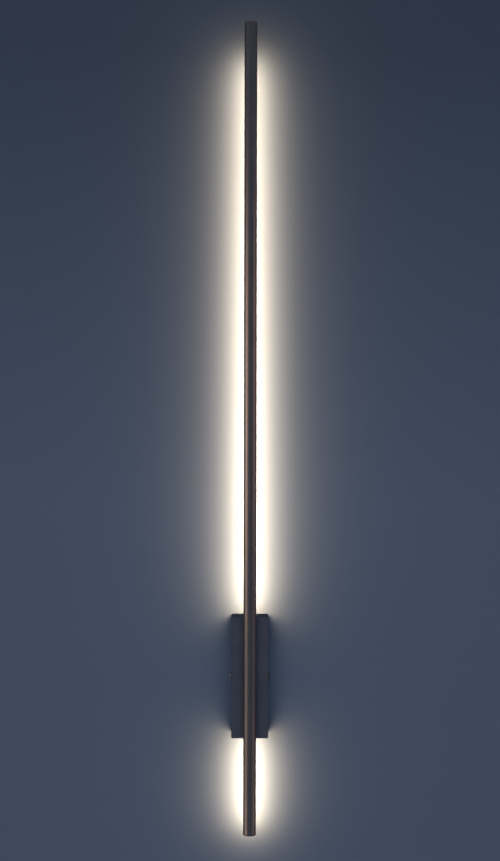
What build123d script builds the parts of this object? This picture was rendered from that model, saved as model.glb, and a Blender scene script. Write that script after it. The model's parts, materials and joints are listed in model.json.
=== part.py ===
from build123d import *
from math import sqrt
import os

# Tube wall light. Millimetres, +Z up, the wall is the plane y = 0 and the room is on its -Y side.
# The origin is on the wall, at the centre of the canopy's open back.

# Tube, an aluminium extrusion that stands off the wall and is lit from its back
tube_length = 1200.0            # with both end caps
tube_drop = 230.0               # canopy's centre down to the tube's lower end
tube_diameter = 19.0
tube_wall = 1.4
tube_flat_depth = 2.3           # cut off the round back to make it flat
slot_width = 8.0                # light slot along the flat back
web_thickness = 1.4
web_setback = 2.0               # tube axis forward to the web's lit face
rib_width = 0.8                 # two ribs on the web locate the light strip
rib_height = 0.8

# End caps
cap_thickness = 2.0
cap_chamfer = 0.5
cap_clearance = 0.1
front_spigot_length = 8.0
rear_spigot_length = 4.0
rear_spigot_gap = 1.4           # room between the rear spigot and the slot lips

# Snap-in diffusers
diffuser_thickness = 1.0
diffuser_recess = 0.2
diffuser_clearance = 0.05
snap_leg = 0.75
snap_depth = 2.4
snap_barb = 0.5
snap_barb_height = 0.2

# Light strips
led_group_length = 50.0
leds_per_group = 3
led_start = 6.0                 # canopy's end to the strip's end
upper_dark_end = 50.0           # least unlit length at the tube's top
lower_dark_end = 15.0           # and at its bottom
board_width = 10.0
board_thickness = 1.0
board_clearance = 0.1
chip_width = 2.8
chip_length = 3.5
chip_thickness = 0.8

# Canopy, the box on the wall
canopy_width = 55.0
canopy_height = 180.0
canopy_depth = 32.0
canopy_wall = 1.2
canopy_corner_radius = 2.0
canopy_edge_chamfer = 0.8
tube_screw_inset = 12.0         # canopy's end to the tube screws
side_screw_depth = 14.0         # wall to the side screws' axis
side_slot_clearance = 0.2       # on each side of the screw's shank

# Metric fasteners
m3_diameter = 3.0
m3_hole = 3.4
m3_stud_length = 8.0
m3_nut_width = 5.5
m3_nut_height = 2.4
m4_diameter = 4.0
m4_hole = 4.4
m4_nut_width = 7.0
m4_nut_height = 3.2
m4_stud_length = 9.0
m4_washer_diameter = 9.0
m4_washer_thickness = 0.8
m4_head_diameter = 8.0
m4_head_height = 2.4
m4_head_chamfer = 0.8
m4_socket_width = 2.5
m4_socket_depth = 1.3
thread_clearance = 0.05
small_sides = 12                # sides drawn on leads, threads and studs
side_screw_length = 8.0
weld_nut_width = 7.0
weld_nut_thickness = 3.0

# Tube nuts that ride in the slot
tube_nut_length = 16.0
tube_nut_thickness = 2.6
tube_nut_side_clearance = 0.15
tube_nut_neck_clearance = 0.2
tube_screw_length = 6.0

# Grommet where the leads pass from the canopy into the tube
grommet_inset = 30.0            # canopy's lower end to the grommet
grommet_flange_diameter = 12.0
grommet_flange_thickness = 1.5
grommet_bore = 5.2
grommet_clearance = 0.1

# Wall bracket, 1.5 mm steel with two ears bent forward
bracket_side_gap = 8.5          # canopy's side to the plate's edge
bracket_end_gap = 10.0          # canopy's end to the plate's end
bracket_thickness = 1.5
bracket_corner_radius = 3.0
wall_slot_spacing = 120.0
box_slot_spacing = 60.0
bracket_slot_length = 12.0
bracket_slot_width = 4.8
cable_hole_diameter = 18.0
ear_width = 16.0
ear_reach = 21.0                # wall to the ear's free edge
ear_clearance = 0.3             # ear to the canopy's inner side
ear_bend_radius = 1.0           # inside the bend
ear_corner_chamfer = 3.0

# Driver, mains to low voltage
driver_side_gap = 10.3          # canopy's inner side to the driver
driver_inset = 46.0             # canopy's lower end to the driver
driver_terminal_gap = 21.0
driver_depth = 20.0
driver_wall = 1.5
driver_corner_radius = 2.0
driver_ear_length = 7.0
driver_ear_width = 10.0
driver_ear_inset = 7.0          # driver's side to its ear's centre
lid_rim_depth = 2.0
lid_rim_width = 1.0
lid_clearance = 0.15
lid_chamfer = 0.5
rail_width = 2.0                # two rails carry the driver's board
rail_height = 2.3
driver_board_margin = 0.7
driver_board_thickness = 1.6
transformer_width = 16.0
transformer_core_height = 11.0
transformer_core_length = 12.0
transformer_inset = 18.0        # driver's lower end to its centre
winding_width = 12.0
winding_length = 16.0
winding_height = 9.0
winding_chamfer = 2.0
capacitor_diameters = (10.0, 6.3)
capacitor_height = 11.0
capacitor_side_gap = 1.5
capacitor_inset = 20.0          # driver's upper end to their centres
lead_window_clearance = 0.2     # round each pair of leads

# Terminal block
terminal_pitch = 8.0
terminal_poles = 3
terminal_inset = 23.0           # canopy's upper end to the block
terminal_length = 18.0
terminal_height = 13.0
tower_width = 7.0
terminal_base_thickness = 3.0
terminal_ear_pitch = 32.0
terminal_ear_radius = 3.6
insert_width = 5.0
insert_inset = 1.0
insert_centre = 6.5
insert_clearance = 0.05
insert_wall = 0.9
terminal_screw_pitch = 9.0
terminal_screw_diameter = 3.0
terminal_screw_length = 4.5
terminal_screw_slot = 0.6
terminal_well_clearance = 0.3

# Earth connection
earth_inset = 5.3               # canopy's inner side to the stud
earth_drop = 10.0               # below the driver's upper end
earth_ring_diameter = 8.0
earth_ring_hole = 4.3
earth_ring_thickness = 0.8
earth_barrel_diameter = 3.4
earth_barrel_length = 7.0
earth_barrel_gap = 0.5          # nut's corner to the crimp barrel

# Leads
mains_lead_diameter = 2.0
strip_lead_diameter = 1.6
strip_lead_spacing = 2.4
link_lead_spacing = 6.4
lead_bend = 3.0                 # bend radius in lead diameters
lead_gap = 0.05
solder_inset = 8.0              # driver's end to the solder joint
solder_reach = 5.0              # lead's end over the light strip
lead_overlap = 6.0              # lead's end inside its terminal
terminal_approach = 5.0         # straight run before the terminal

# Places worked out from the sizes
tube_radius = tube_diameter / 2
tube_flat = tube_radius - tube_flat_depth
bore_radius = tube_radius - tube_wall
tube_axis = -(canopy_depth + tube_flat)
slot_roof = tube_flat - tube_wall
tube_bottom = -tube_drop
tube_top = tube_length - tube_drop
body_bottom = tube_bottom + cap_thickness
body_top = tube_top - cap_thickness
canopy_inner = canopy_wall - canopy_depth
canopy_end = canopy_height / 2
board_face = board_thickness - web_setback
strip_start = canopy_end + led_start
led_pitch = led_group_length / leds_per_group
upper_led_count = int((tube_top - upper_dark_end - strip_start) / led_pitch)
lower_led_count = int((-tube_bottom - lower_dark_end - strip_start) / led_pitch)
tube_screw_spacing = canopy_height - 2 * tube_screw_inset
grommet_drop = canopy_end - grommet_inset
bracket_width = canopy_width - 2 * bracket_side_gap
bracket_height = canopy_height - 2 * bracket_end_gap
strip_lead_radius = strip_lead_diameter / 2
mains_lead_radius = mains_lead_diameter / 2
strip_lead_depth = tube_axis + board_face + strip_lead_radius + lead_gap
terminal_high = canopy_end - terminal_inset
terminal_start = terminal_high - terminal_length
terminal_axis = canopy_inner + insert_centre
driver_width = canopy_width - 2 * (canopy_wall + driver_side_gap)
driver_low = driver_inset - canopy_end
driver_high = terminal_start - driver_terminal_gap
driver_rim = canopy_inner + driver_depth - driver_wall
driver_floor = canopy_inner + driver_wall
driver_board_low = driver_floor + rail_height
driver_board_high = driver_board_low + driver_board_thickness
earth_across = canopy_width / 2 - canopy_wall - earth_inset
earth_rise = driver_high - earth_drop
ear_outer = canopy_width / 2 - canopy_wall - ear_clearance
pole_places = [(i - (terminal_poles - 1) / 2) * terminal_pitch for i in range(terminal_poles)]
driver_ear_across = driver_width / 2 - driver_ear_inset
driver_stud_places = [
    (driver_ear_across, driver_high + driver_ear_length / 2),
    (-driver_ear_across, driver_low - driver_ear_length / 2),
]
terminal_stud_places = [
    (side * terminal_ear_pitch / 2, terminal_start + terminal_length / 2) for side in (-1, 1)
]

# A solid drawn along +Z is turned to face the wall or a side
to_wall = Rot(-90, 0, 0)
to_right = Rot(0, 90, 0)
to_left = Rot(0, -90, 0)


def span_box(x_span, y_span, z_span):
    spans = (x_span, y_span, z_span)
    centre = [(low + high) / 2 for low, high in spans]
    size = [high - low for low, high in spans]
    return Pos(*centre) * Box(*size)


def span_face(x_span, y_span):
    spans = (x_span, y_span)
    centre = [(low + high) / 2 for low, high in spans]
    size = [high - low for low, high in spans]
    return Pos(*centre) * Rectangle(*size)


def centred(width):
    return (-width / 2, width / 2)


def small_rod(diameter):
    # Stands for a small circle, from just inside it
    return RegularPolygon(diameter / 2, small_sides)


def small_hole(diameter):
    # Stands for a small circle, from just outside it
    return RegularPolygon(diameter / 2, small_sides, major_radius=False)


def to_wall_from(face, y_span, x=0, z=0):
    low, high = y_span
    return Pos(x, low, z) * to_wall * extrude(face, high - low)


def across_from(face, x_span, y=0, z=0):
    low, high = x_span
    return Pos(low, y, z) * to_right * extrude(face, high - low)


def up_from(face, z_span, x=0, y=0):
    low, high = z_span
    return Pos(x, y, low) * extrude(face, high - low)


def hex_face(width):
    return RegularPolygon(width / 2, 6, major_radius=False)


def thread_face(diameter):
    return small_hole(diameter + 2 * thread_clearance)


def hex_nut(width, height, thread):
    return extrude(hex_face(width) - thread_face(thread), height)


def pan_screw(length):
    # Head above the origin, shank below it
    head = extrude(Circle(m4_head_diameter / 2), m4_head_height)
    head = chamfer(head.edges().sort_by(Axis.Z)[-1], m4_head_chamfer)
    head -= up_from(hex_face(m4_socket_width), (m4_head_height - m4_socket_depth, m4_head_height))
    return head + up_from(small_rod(m4_diameter), (-length, 0))


def lead(points, diameter):
    bends = [lead_bend * diameter] * (len(points) - 2)
    route = FilletPolyline(*points, radius=bends)
    section = Plane(origin=route @ 0, z_dir=route % 0) * small_rod(diameter)
    return sweep(section, path=route)


def group(solids):
    return Compound([solid.solid() for solid in solids])


# Tube profile: local y runs from the tube's axis to the wall

def tube_outline():
    beyond_flat = span_face(centred(2 * tube_diameter), (tube_flat, tube_flat + tube_diameter))
    return Circle(tube_radius) - beyond_flat


def front_cavity():
    web_front = -web_setback - web_thickness
    beyond_web = span_face(centred(2 * tube_diameter), (web_front, web_front + 2 * tube_diameter))
    return Circle(bore_radius) - beyond_web


def rear_channel(roof):
    wide = centred(2 * tube_diameter)
    channel = Circle(bore_radius) & span_face(wide, (-web_setback, roof))
    rib_inner = board_width / 2 + board_clearance
    for side in (-1, 1):
        rib_span = sorted((side * rib_inner, side * (rib_inner + rib_width)))
        channel -= span_face(rib_span, (-web_setback, rib_height - web_setback))
    return channel


def tube_section():
    slot = span_face(centred(slot_width), (slot_roof - tube_wall, tube_flat + tube_wall))
    return tube_outline() - front_cavity() - rear_channel(slot_roof) - slot


def along_tube(section, low, high):
    return Pos(0, tube_axis, low) * extrude(section, high - low)


def end_cap(joint_height, outward):
    # The cap's disc lies on the tube's end, at joint_height, and its two spigots go inside
    disc = extrude(tube_outline(), cap_thickness)
    disc = chamfer(disc.faces().sort_by(Axis.Z)[-1].edges(), cap_chamfer)
    front = offset(front_cavity(), -cap_clearance)
    rear = offset(rear_channel(slot_roof - rear_spigot_gap), -cap_clearance)
    cap = disc + extrude(front, -front_spigot_length) + extrude(rear, -rear_spigot_length)
    if outward < 0:
        cap = mirror(cap, about=Plane.XY)
    return Pos(0, tube_axis, joint_height) * cap


def diffuser_section():
    face = tube_flat - diffuser_recess
    under_lip = slot_roof - diffuser_clearance
    outside = slot_width / 2 - diffuser_clearance
    inside = outside - snap_leg
    tip = slot_roof - snap_depth / 2
    half = [
        (0, face),
        (outside, face),
        (outside, under_lip),
        (outside + snap_barb, under_lip),
        (outside + snap_barb, under_lip - snap_barb_height),
        (outside, tip),
        (inside, tip),
        (inside, face - diffuser_thickness),
        (0, face - diffuser_thickness),
    ]
    other_half = [(-x, y) for x, y in reversed(half[1:-1])]
    return make_face(Polyline(*half, *other_half, close=True))


def light_strip(count, direction):
    # Board and chips of one strip, which starts beside the canopy and runs up or down
    ends = sorted((direction * strip_start, direction * (strip_start + count * led_pitch)))
    board_bottom = tube_axis - web_setback
    board_top = tube_axis + board_face
    board = span_box(centred(board_width), (board_bottom, board_top), ends)
    chips = []
    for i in range(count):
        middle = direction * (strip_start + (i + 0.5) * led_pitch)
        chip_span = (middle - chip_length / 2, middle + chip_length / 2)
        chips.append(
            span_box(centred(chip_width), (board_top, board_top + chip_thickness), chip_span)
        )
    return board, group(chips)


def tube_nut(height):
    bore_half_width = sqrt(bore_radius**2 - slot_roof**2)
    flange_width = 2 * (bore_half_width - tube_nut_side_clearance)
    neck_width = slot_width - 2 * tube_nut_neck_clearance
    flange = span_face(centred(flange_width), (slot_roof - tube_nut_thickness, slot_roof))
    neck = span_face(centred(neck_width), (slot_roof, tube_flat - tube_nut_neck_clearance))
    low = height - tube_nut_length / 2
    nut = along_tube(flange + neck, low, low + tube_nut_length)
    return nut - to_wall_from(thread_face(m4_diameter), (tube_axis, -canopy_depth), z=height)


def tube_screw(height):
    under_head = canopy_inner + m4_washer_thickness
    return Pos(0, under_head, height) * to_wall * pan_screw(tube_screw_length)


def tube_washer(height):
    washer = Circle(m4_washer_diameter / 2) - small_hole(m4_hole)
    return Pos(0, canopy_inner, height) * to_wall * extrude(washer, m4_washer_thickness)


def canopy():
    box = span_box(centred(canopy_width), (-canopy_depth, 0), centred(canopy_height))
    shell = fillet(box.edges().filter_by(Axis.Y), canopy_corner_radius)
    shell = chamfer(shell.faces().sort_by(Axis.Y)[0].edges(), canopy_edge_chamfer)
    inner_end = canopy_end - canopy_wall
    inner_width = canopy_width - 2 * canopy_wall
    shell -= span_box(centred(inner_width), (canopy_inner, 0), (-inner_end, inner_end))
    front = (-canopy_depth - canopy_wall, canopy_inner + canopy_wall)
    for height in centred(tube_screw_spacing):
        shell -= to_wall_from(small_hole(m4_hole), front, z=height)
    shell -= to_wall_from(Circle(slot_width / 2), front, z=-grommet_drop)
    side_slot = m4_diameter + 2 * side_slot_clearance
    across = centred(canopy_width + 2 * canopy_wall)
    shell -= across_from(Circle(side_slot / 2), across, y=-side_screw_depth)
    shell -= span_box(across, (-side_screw_depth, canopy_wall), centred(side_slot))
    return shell


def grommet():
    flange = (canopy_inner, canopy_inner + grommet_flange_thickness)
    neck = (-canopy_depth - tube_wall, canopy_inner)
    bush = to_wall_from(Circle(grommet_flange_diameter / 2), flange, z=-grommet_drop)
    bush += to_wall_from(Circle(slot_width / 2 - grommet_clearance), neck, z=-grommet_drop)
    return bush - to_wall_from(Circle(grommet_bore / 2), (neck[0], flange[1]), z=-grommet_drop)


def wall_bracket():
    plate = Rectangle(bracket_width, bracket_height)
    plate = fillet(plate.vertices(), bracket_corner_radius)
    slot = SlotOverall(bracket_slot_length, bracket_slot_width, rotation=90)
    for spacing in (wall_slot_spacing, box_slot_spacing):
        for height in centred(spacing):
            plate -= Pos(0, height) * slot
    plate -= Circle(cable_hole_diameter / 2)
    bracket = Plane.XZ * extrude(plate, bracket_thickness)
    for side in (-1, 1):
        bracket += bracket_ear(side)
        span = sorted((side * bracket_width / 2, side * canopy_width / 2))
        bracket -= across_from(thread_face(m4_diameter), span, y=-side_screw_depth)
    return bracket


def bracket_ear(side):
    # A tab of the plate, bent forward; drawn in plan on the right and mirrored for the left
    outer = ear_bend_radius + bracket_thickness
    start = bracket_width / 2 - bracket_corner_radius
    inner_face = ear_outer - bracket_thickness
    bend_x = ear_outer - outer
    outline = Line((start, 0), (bend_x, 0))
    outline += RadiusArc((bend_x, 0), (ear_outer, -outer), outer)
    outline += Line((ear_outer, -outer), (ear_outer, -ear_reach))
    outline += Line((ear_outer, -ear_reach), (inner_face, -ear_reach))
    outline += Line((inner_face, -ear_reach), (inner_face, -outer))
    outline += RadiusArc((inner_face, -outer), (bend_x, -bracket_thickness), -ear_bend_radius)
    outline += Line((bend_x, -bracket_thickness), (start, -bracket_thickness))
    outline += Line((start, -bracket_thickness), (start, 0))
    ear = Pos(0, 0, -ear_width / 2) * extrude(make_face(outline), ear_width)
    free_edge = ear.faces().sort_by(Axis.Y)[0]
    ear = chamfer(free_edge.edges().filter_by(Axis.X), ear_corner_chamfer)
    return ear if side > 0 else mirror(ear, about=Plane.YZ)


def ear_nut(side):
    # Square weld nut on the ear's inner side
    face = ear_outer - bracket_thickness
    span = sorted((side * (face - weld_nut_thickness), side * face))
    middle = -side_screw_depth
    y_span = (middle - weld_nut_width / 2, middle + weld_nut_width / 2)
    nut = span_box(span, y_span, centred(weld_nut_width))
    return nut - across_from(thread_face(m4_diameter), span, y=middle)


def side_screw(side):
    turn = to_right if side > 0 else to_left
    return Pos(side * canopy_width / 2, -side_screw_depth, 0) * turn * pan_screw(side_screw_length)


def driver_case():
    case = span_box(
        centred(driver_width), (canopy_inner, driver_rim), (driver_low, driver_high)
    )
    case = fillet(case.edges().filter_by(Axis.Y), driver_corner_radius)
    inside_width = driver_width - 2 * driver_wall
    inside_span = (driver_low + driver_wall, driver_high - driver_wall)
    case -= span_box(centred(inside_width), (driver_floor, driver_rim), inside_span)
    for side in (-1, 1):
        rail = sorted((side * inside_width / 2, side * (inside_width / 2 - rail_width)))
        case += span_box(rail, (driver_floor, driver_board_low), inside_span)
    floor = (canopy_inner, driver_floor)
    for x, z in driver_stud_places:
        half_width = driver_ear_width / 2
        half_length = driver_ear_length / 2
        ear = span_box((x - half_width, x + half_width), floor, (z - half_length, z + half_length))
        case += ear
        case -= to_wall_from(small_hole(m3_hole), floor, x, z)
    case -= lead_window(pole_places[:2], mains_lead_radius, (driver_high - driver_wall, driver_high))
    strip_places = centred(strip_lead_spacing)
    return case - lead_window(strip_places, strip_lead_radius, (driver_low, driver_low + driver_wall))


def lead_window(places, radius, z_span):
    # One opening in the driver's end wall for a pair of leads
    reach = radius + lead_window_clearance
    x_span = (places[0] - reach, places[-1] + reach)
    return span_box(x_span, (terminal_axis - reach, terminal_axis + reach), z_span)


def driver_lid():
    cover = span_box(
        centred(driver_width), (driver_rim, driver_rim + driver_wall), (driver_low, driver_high)
    )
    cover = fillet(cover.edges().filter_by(Axis.Y), driver_corner_radius)
    cover = chamfer(cover.faces().sort_by(Axis.Y)[-1].edges(), lid_chamfer)
    outer_inset = driver_wall + lid_clearance
    inner_inset = outer_inset + lid_rim_width
    rim = span_box(
        centred(driver_width - 2 * outer_inset),
        (driver_rim - lid_rim_depth, driver_rim),
        (driver_low + outer_inset, driver_high - outer_inset),
    )
    rim -= span_box(
        centred(driver_width - 2 * inner_inset),
        (driver_rim - lid_rim_depth, driver_rim),
        (driver_low + inner_inset, driver_high - inner_inset),
    )
    return cover + rim


def driver_board():
    inset = driver_wall + driver_board_margin
    return span_box(
        centred(driver_width - 2 * inset),
        (driver_board_low, driver_board_high),
        (driver_low + inset, driver_high - inset),
    )


def driver_transformer():
    core_top = driver_board_high + transformer_core_height
    core = span_box(
        centred(transformer_width), (driver_board_high, core_top), centred(transformer_core_length)
    )
    winding_low = driver_board_high + (transformer_core_height - winding_height) / 2
    winding = span_box(
        centred(winding_width), (winding_low, winding_low + winding_height), centred(winding_length)
    )
    core += chamfer(winding.edges().filter_by(Axis.Z), winding_chamfer)
    return Pos(0, 0, driver_low + transformer_inset) * core


def driver_capacitors():
    cans = []
    top = driver_board_high + capacitor_height
    height = driver_high - capacitor_inset
    for side, diameter in zip((-1, 1), capacitor_diameters):
        across = driver_width / 2 - driver_wall - capacitor_side_gap - diameter / 2
        outline = Circle(diameter / 2)
        cans.append(to_wall_from(outline, (driver_board_high, top), side * across, height))
    return group(cans)


def terminal_screw_places():
    middle = terminal_start + terminal_length / 2
    return [(x, middle + offset_z) for x in pole_places for offset_z in centred(terminal_screw_pitch)]


def terminal_block():
    body_width = (terminal_poles - 1) * terminal_pitch + tower_width
    base = (canopy_inner, canopy_inner + terminal_base_thickness)
    along = (terminal_start, terminal_high)
    block = span_box(centred(body_width), base, along)
    for x, z in terminal_stud_places:
        inner = sorted((0, x))
        ear_z = (z - terminal_ear_radius, z + terminal_ear_radius)
        block += span_box(inner, base, ear_z) + to_wall_from(Circle(terminal_ear_radius), base, x, z)
        block -= to_wall_from(small_hole(m3_hole), base, x, z)
    top = canopy_inner + terminal_height
    for x in pole_places:
        block += span_box((x - tower_width / 2, x + tower_width / 2), (canopy_inner, top), along)
        block -= square_rod(insert_width + 2 * insert_clearance, along, x)
    well = small_hole(terminal_screw_diameter + 2 * terminal_well_clearance)
    for x, z in terminal_screw_places():
        block -= to_wall_from(well, (terminal_axis, top), x, z)
    return block


def square_rod(width, z_span, x):
    # Along the terminal's axis
    low, high = centred(width)
    return span_box((x + low, x + high), (terminal_axis + low, terminal_axis + high), z_span)


def terminal_insert(x):
    # Square brass clamp body with a screw at each end
    along = (terminal_start + insert_inset, terminal_high - insert_inset)
    insert = square_rod(insert_width, along, x)
    insert -= square_rod(insert_width - 2 * insert_wall, along, x)
    thread = thread_face(terminal_screw_diameter)
    for screw_x, z in terminal_screw_places():
        if screw_x == x:
            insert -= to_wall_from(thread, (terminal_axis, terminal_axis + insert_width), x, z)
    return insert


def terminal_screw(x, z):
    # Headless, and its tip clamps the lead
    tip = terminal_axis + mains_lead_radius + lead_gap
    top = tip + terminal_screw_length
    screw = to_wall_from(small_rod(terminal_screw_diameter), (tip, top), x, z)
    half_slot = terminal_screw_slot / 2
    across = (x - terminal_screw_diameter, x + terminal_screw_diameter)
    return screw - span_box(across, (top - terminal_screw_slot, top), (z - half_slot, z + half_slot))


def studs():
    length = (canopy_inner, canopy_inner + m3_stud_length)
    places = driver_stud_places + terminal_stud_places
    return group([to_wall_from(small_rod(m3_diameter), length, x, z) for x, z in places])


def stud_nuts():
    nut = to_wall * hex_nut(m3_nut_width, m3_nut_height, m3_diameter)
    nuts = [Pos(x, driver_floor, z) * nut for x, z in driver_stud_places]
    terminal_face = canopy_inner + terminal_base_thickness
    nuts += [Pos(x, terminal_face, z) * nut for x, z in terminal_stud_places]
    return group(nuts)


def earth_stud():
    length = (canopy_inner, canopy_inner + m4_stud_length)
    return to_wall_from(small_rod(m4_diameter), length, earth_across, earth_rise)


def earth_nut():
    seat = canopy_inner + earth_ring_thickness
    return Pos(earth_across, seat, earth_rise) * to_wall * hex_nut(m4_nut_width, m4_nut_height, m4_diameter)


def earth_barrel_start():
    return earth_rise + m4_nut_width / sqrt(3) + earth_barrel_gap


def earth_terminal():
    sheet = (canopy_inner, canopy_inner + earth_ring_thickness)
    barrel_axis = canopy_inner + earth_barrel_diameter / 2
    start = earth_barrel_start()
    tongue = (earth_across - earth_barrel_diameter / 2, earth_across + earth_barrel_diameter / 2)
    terminal = to_wall_from(Circle(earth_ring_diameter / 2), sheet, earth_across, earth_rise)
    terminal += span_box(tongue, sheet, (earth_rise, start + earth_barrel_gap))
    barrel = (start, start + earth_barrel_length)
    terminal += up_from(small_rod(earth_barrel_diameter), barrel, earth_across, barrel_axis)
    terminal -= to_wall_from(small_hole(earth_ring_hole), sheet, earth_across, earth_rise)
    bore = small_hole(mains_lead_diameter + 2 * lead_gap)
    return terminal - up_from(bore, barrel, earth_across, barrel_axis)


def mains_lead(x):
    # Straight from the driver's board, out of its upper end and into the terminal
    length = (driver_high - solder_inset, terminal_start + lead_overlap)
    return up_from(small_rod(mains_lead_diameter), length, x, terminal_axis)


def earth_lead():
    barrel_axis = canopy_inner + earth_barrel_diameter / 2
    start = earth_barrel_start()
    arrive = terminal_start - terminal_approach
    leave = start + earth_barrel_length + mains_lead_diameter
    pole = pole_places[-1]
    return lead(
        [
            (earth_across, barrel_axis, start + mains_lead_diameter),
            (earth_across, barrel_axis, leave),
            (pole, terminal_axis, arrive),
            (pole, terminal_axis, terminal_start + lead_overlap),
        ],
        mains_lead_diameter,
    )


def strip_lead(x):
    # From the driver's lower end through the grommet and up the tube to the upper strip
    return lead(
        [
            (x, terminal_axis, driver_low + solder_inset),
            (x, terminal_axis, -grommet_drop),
            (x, strip_lead_depth, -grommet_drop),
            (x, strip_lead_depth, strip_start + solder_reach),
        ],
        strip_lead_diameter,
    )


def link_lead(x):
    # Joins the two strips behind the canopy
    reach = strip_start + solder_reach
    return up_from(small_rod(strip_lead_diameter), (-reach, reach), x, strip_lead_depth)


upper_board, upper_chips = light_strip(upper_led_count, 1)
lower_board, lower_chips = light_strip(lower_led_count, -1)
screw_heights = centred(tube_screw_spacing)
strip_low, strip_high = centred(strip_lead_spacing)
link_low, link_high = centred(link_lead_spacing)

parts = {
    "tube_body": along_tube(tube_section(), body_bottom, body_top),
    "top_end_cap": end_cap(body_top, 1),
    "bottom_end_cap": end_cap(body_bottom, -1),
    "upper_diffuser": along_tube(diffuser_section(), canopy_end, body_top),
    "lower_diffuser": along_tube(diffuser_section(), body_bottom, -canopy_end),
    "upper_led_board": upper_board,
    "lower_led_board": lower_board,
    "upper_led_chips": upper_chips,
    "lower_led_chips": lower_chips,
    "tube_nuts": group([tube_nut(z) for z in screw_heights]),
    "tube_fixing_screws": group([tube_screw(z) for z in screw_heights]),
    "tube_fixing_washers": group([tube_washer(z) for z in screw_heights]),
    "canopy": canopy(),
    "canopy_studs": studs(),
    "cable_grommet": grommet(),
    "driver_case": driver_case(),
    "driver_lid": driver_lid(),
    "driver_board": driver_board(),
    "driver_transformer": driver_transformer(),
    "driver_capacitors": driver_capacitors(),
    "terminal_block": terminal_block(),
    "terminal_inserts": group([terminal_insert(x) for x in pole_places]),
    "terminal_screws": group([terminal_screw(x, z) for x, z in terminal_screw_places()]),
    "stud_nuts": stud_nuts(),
    "earth_stud": earth_stud(),
    "earth_terminal": earth_terminal(),
    "earth_nut": earth_nut(),
    "earth_lead": earth_lead(),
    "live_lead": mains_lead(pole_places[0]),
    "neutral_lead": mains_lead(pole_places[1]),
    "negative_lead": strip_lead(strip_low),
    "positive_lead": strip_lead(strip_high),
    "link_negative_lead": link_lead(link_low),
    "link_positive_lead": link_lead(link_high),
    "wall_bracket": wall_bracket(),
    "ear_nuts": group([ear_nut(side) for side in (-1, 1)]),
    "side_screw_left": side_screw(-1),
    "side_screw_right": side_screw(1),
}

os.makedirs("parts", exist_ok=True)
for name, shape in parts.items():
    export_step(shape, f"parts/{name}.step")
    print(f"{name}: {len(shape.solids())} solid(s), {shape.volume:.1f} mm3")
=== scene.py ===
import json
import math

import bmesh
import bpy
from mathutils import Matrix, Vector

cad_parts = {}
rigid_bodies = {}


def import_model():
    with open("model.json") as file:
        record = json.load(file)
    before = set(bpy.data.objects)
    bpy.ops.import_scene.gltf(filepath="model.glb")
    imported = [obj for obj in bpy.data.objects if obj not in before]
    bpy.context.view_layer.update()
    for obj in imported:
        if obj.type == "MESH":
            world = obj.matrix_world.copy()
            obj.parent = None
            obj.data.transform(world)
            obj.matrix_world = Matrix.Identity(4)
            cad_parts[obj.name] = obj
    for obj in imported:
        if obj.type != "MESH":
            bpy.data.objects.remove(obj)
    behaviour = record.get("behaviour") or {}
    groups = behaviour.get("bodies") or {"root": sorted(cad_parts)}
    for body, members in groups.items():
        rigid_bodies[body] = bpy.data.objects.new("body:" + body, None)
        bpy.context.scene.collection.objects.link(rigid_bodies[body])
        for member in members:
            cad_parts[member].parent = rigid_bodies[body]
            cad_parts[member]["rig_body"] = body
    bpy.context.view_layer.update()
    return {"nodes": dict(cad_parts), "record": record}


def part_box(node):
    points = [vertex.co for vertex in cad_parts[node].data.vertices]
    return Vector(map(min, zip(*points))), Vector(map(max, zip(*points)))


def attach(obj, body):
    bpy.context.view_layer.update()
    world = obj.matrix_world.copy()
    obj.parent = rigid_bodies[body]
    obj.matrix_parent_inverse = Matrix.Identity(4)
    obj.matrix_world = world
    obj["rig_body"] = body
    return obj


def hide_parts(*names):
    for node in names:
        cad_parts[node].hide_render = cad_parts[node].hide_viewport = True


# Tube wall light, in metres: the wall is the plane y = 0 and the room is on its -Y side

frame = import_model()
nodes = frame["nodes"]
scene = bpy.context.scene
mm = 0.001
touchDistance = 0.0001 * mm
weldDistance = 0.001 * mm
softAngle = 32.0        # faces that meet at less than this many degrees look smooth
print("frame loaded:", len(nodes), "nodes")


def solidBoxes(name):
    # Lowest and highest corners of each separate solid in a node
    mesh = bmesh.new()
    mesh.from_mesh(nodes[name].data)
    bmesh.ops.remove_doubles(mesh, verts=mesh.verts, dist=touchDistance)
    seen = set()
    boxes = []
    for start in mesh.verts:
        if start in seen:
            continue
        seen.add(start)
        waiting = [start]
        corners = []
        while waiting:
            vert = waiting.pop()
            corners.append(vert.co.copy())
            for edge in vert.link_edges:
                other = edge.other_vert(vert)
                if other not in seen:
                    seen.add(other)
                    waiting.append(other)
        low = Vector([min(c[i] for c in corners) for i in range(3)])
        high = Vector([max(c[i] for c in corners) for i in range(3)])
        boxes.append((low, high))
    mesh.free()
    return boxes


def middle(box):
    return (box[0] + box[1]) / 2


def camelName(node):
    words = node.split("_")
    return words[0] + "".join(word.capitalize() for word in words[1:])


tubeLow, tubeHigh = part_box("tube_body")
canopyLow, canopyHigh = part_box("canopy")
tubeRadius = (tubeHigh.x - tubeLow.x) / 2
tubeAxis = tubeLow.y + tubeRadius
tubeFlat = tubeHigh.y - tubeAxis


def socketNamed(sockets, key):
    if isinstance(key, int):
        return sockets[key]
    return next(s for s in sockets if s.name == key and s.enabled)


def addNode(tree, kind, inputs=(), **settings):
    made = tree.nodes.new(kind)
    for key, value in settings.items():
        setattr(made, key, value)
    for key, value in dict(inputs).items():
        socket = socketNamed(made.inputs, key)
        if isinstance(value, bpy.types.NodeSocket):
            tree.links.new(value, socket)
        else:
            socket.default_value = value
    return made


def calculate(tree, operation, first, second=0.0, third=0.0):
    inputs = {0: first, 1: second, 2: third}
    made = addNode(tree, "ShaderNodeMath", inputs, operation=operation)
    return made.outputs[0]


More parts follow.
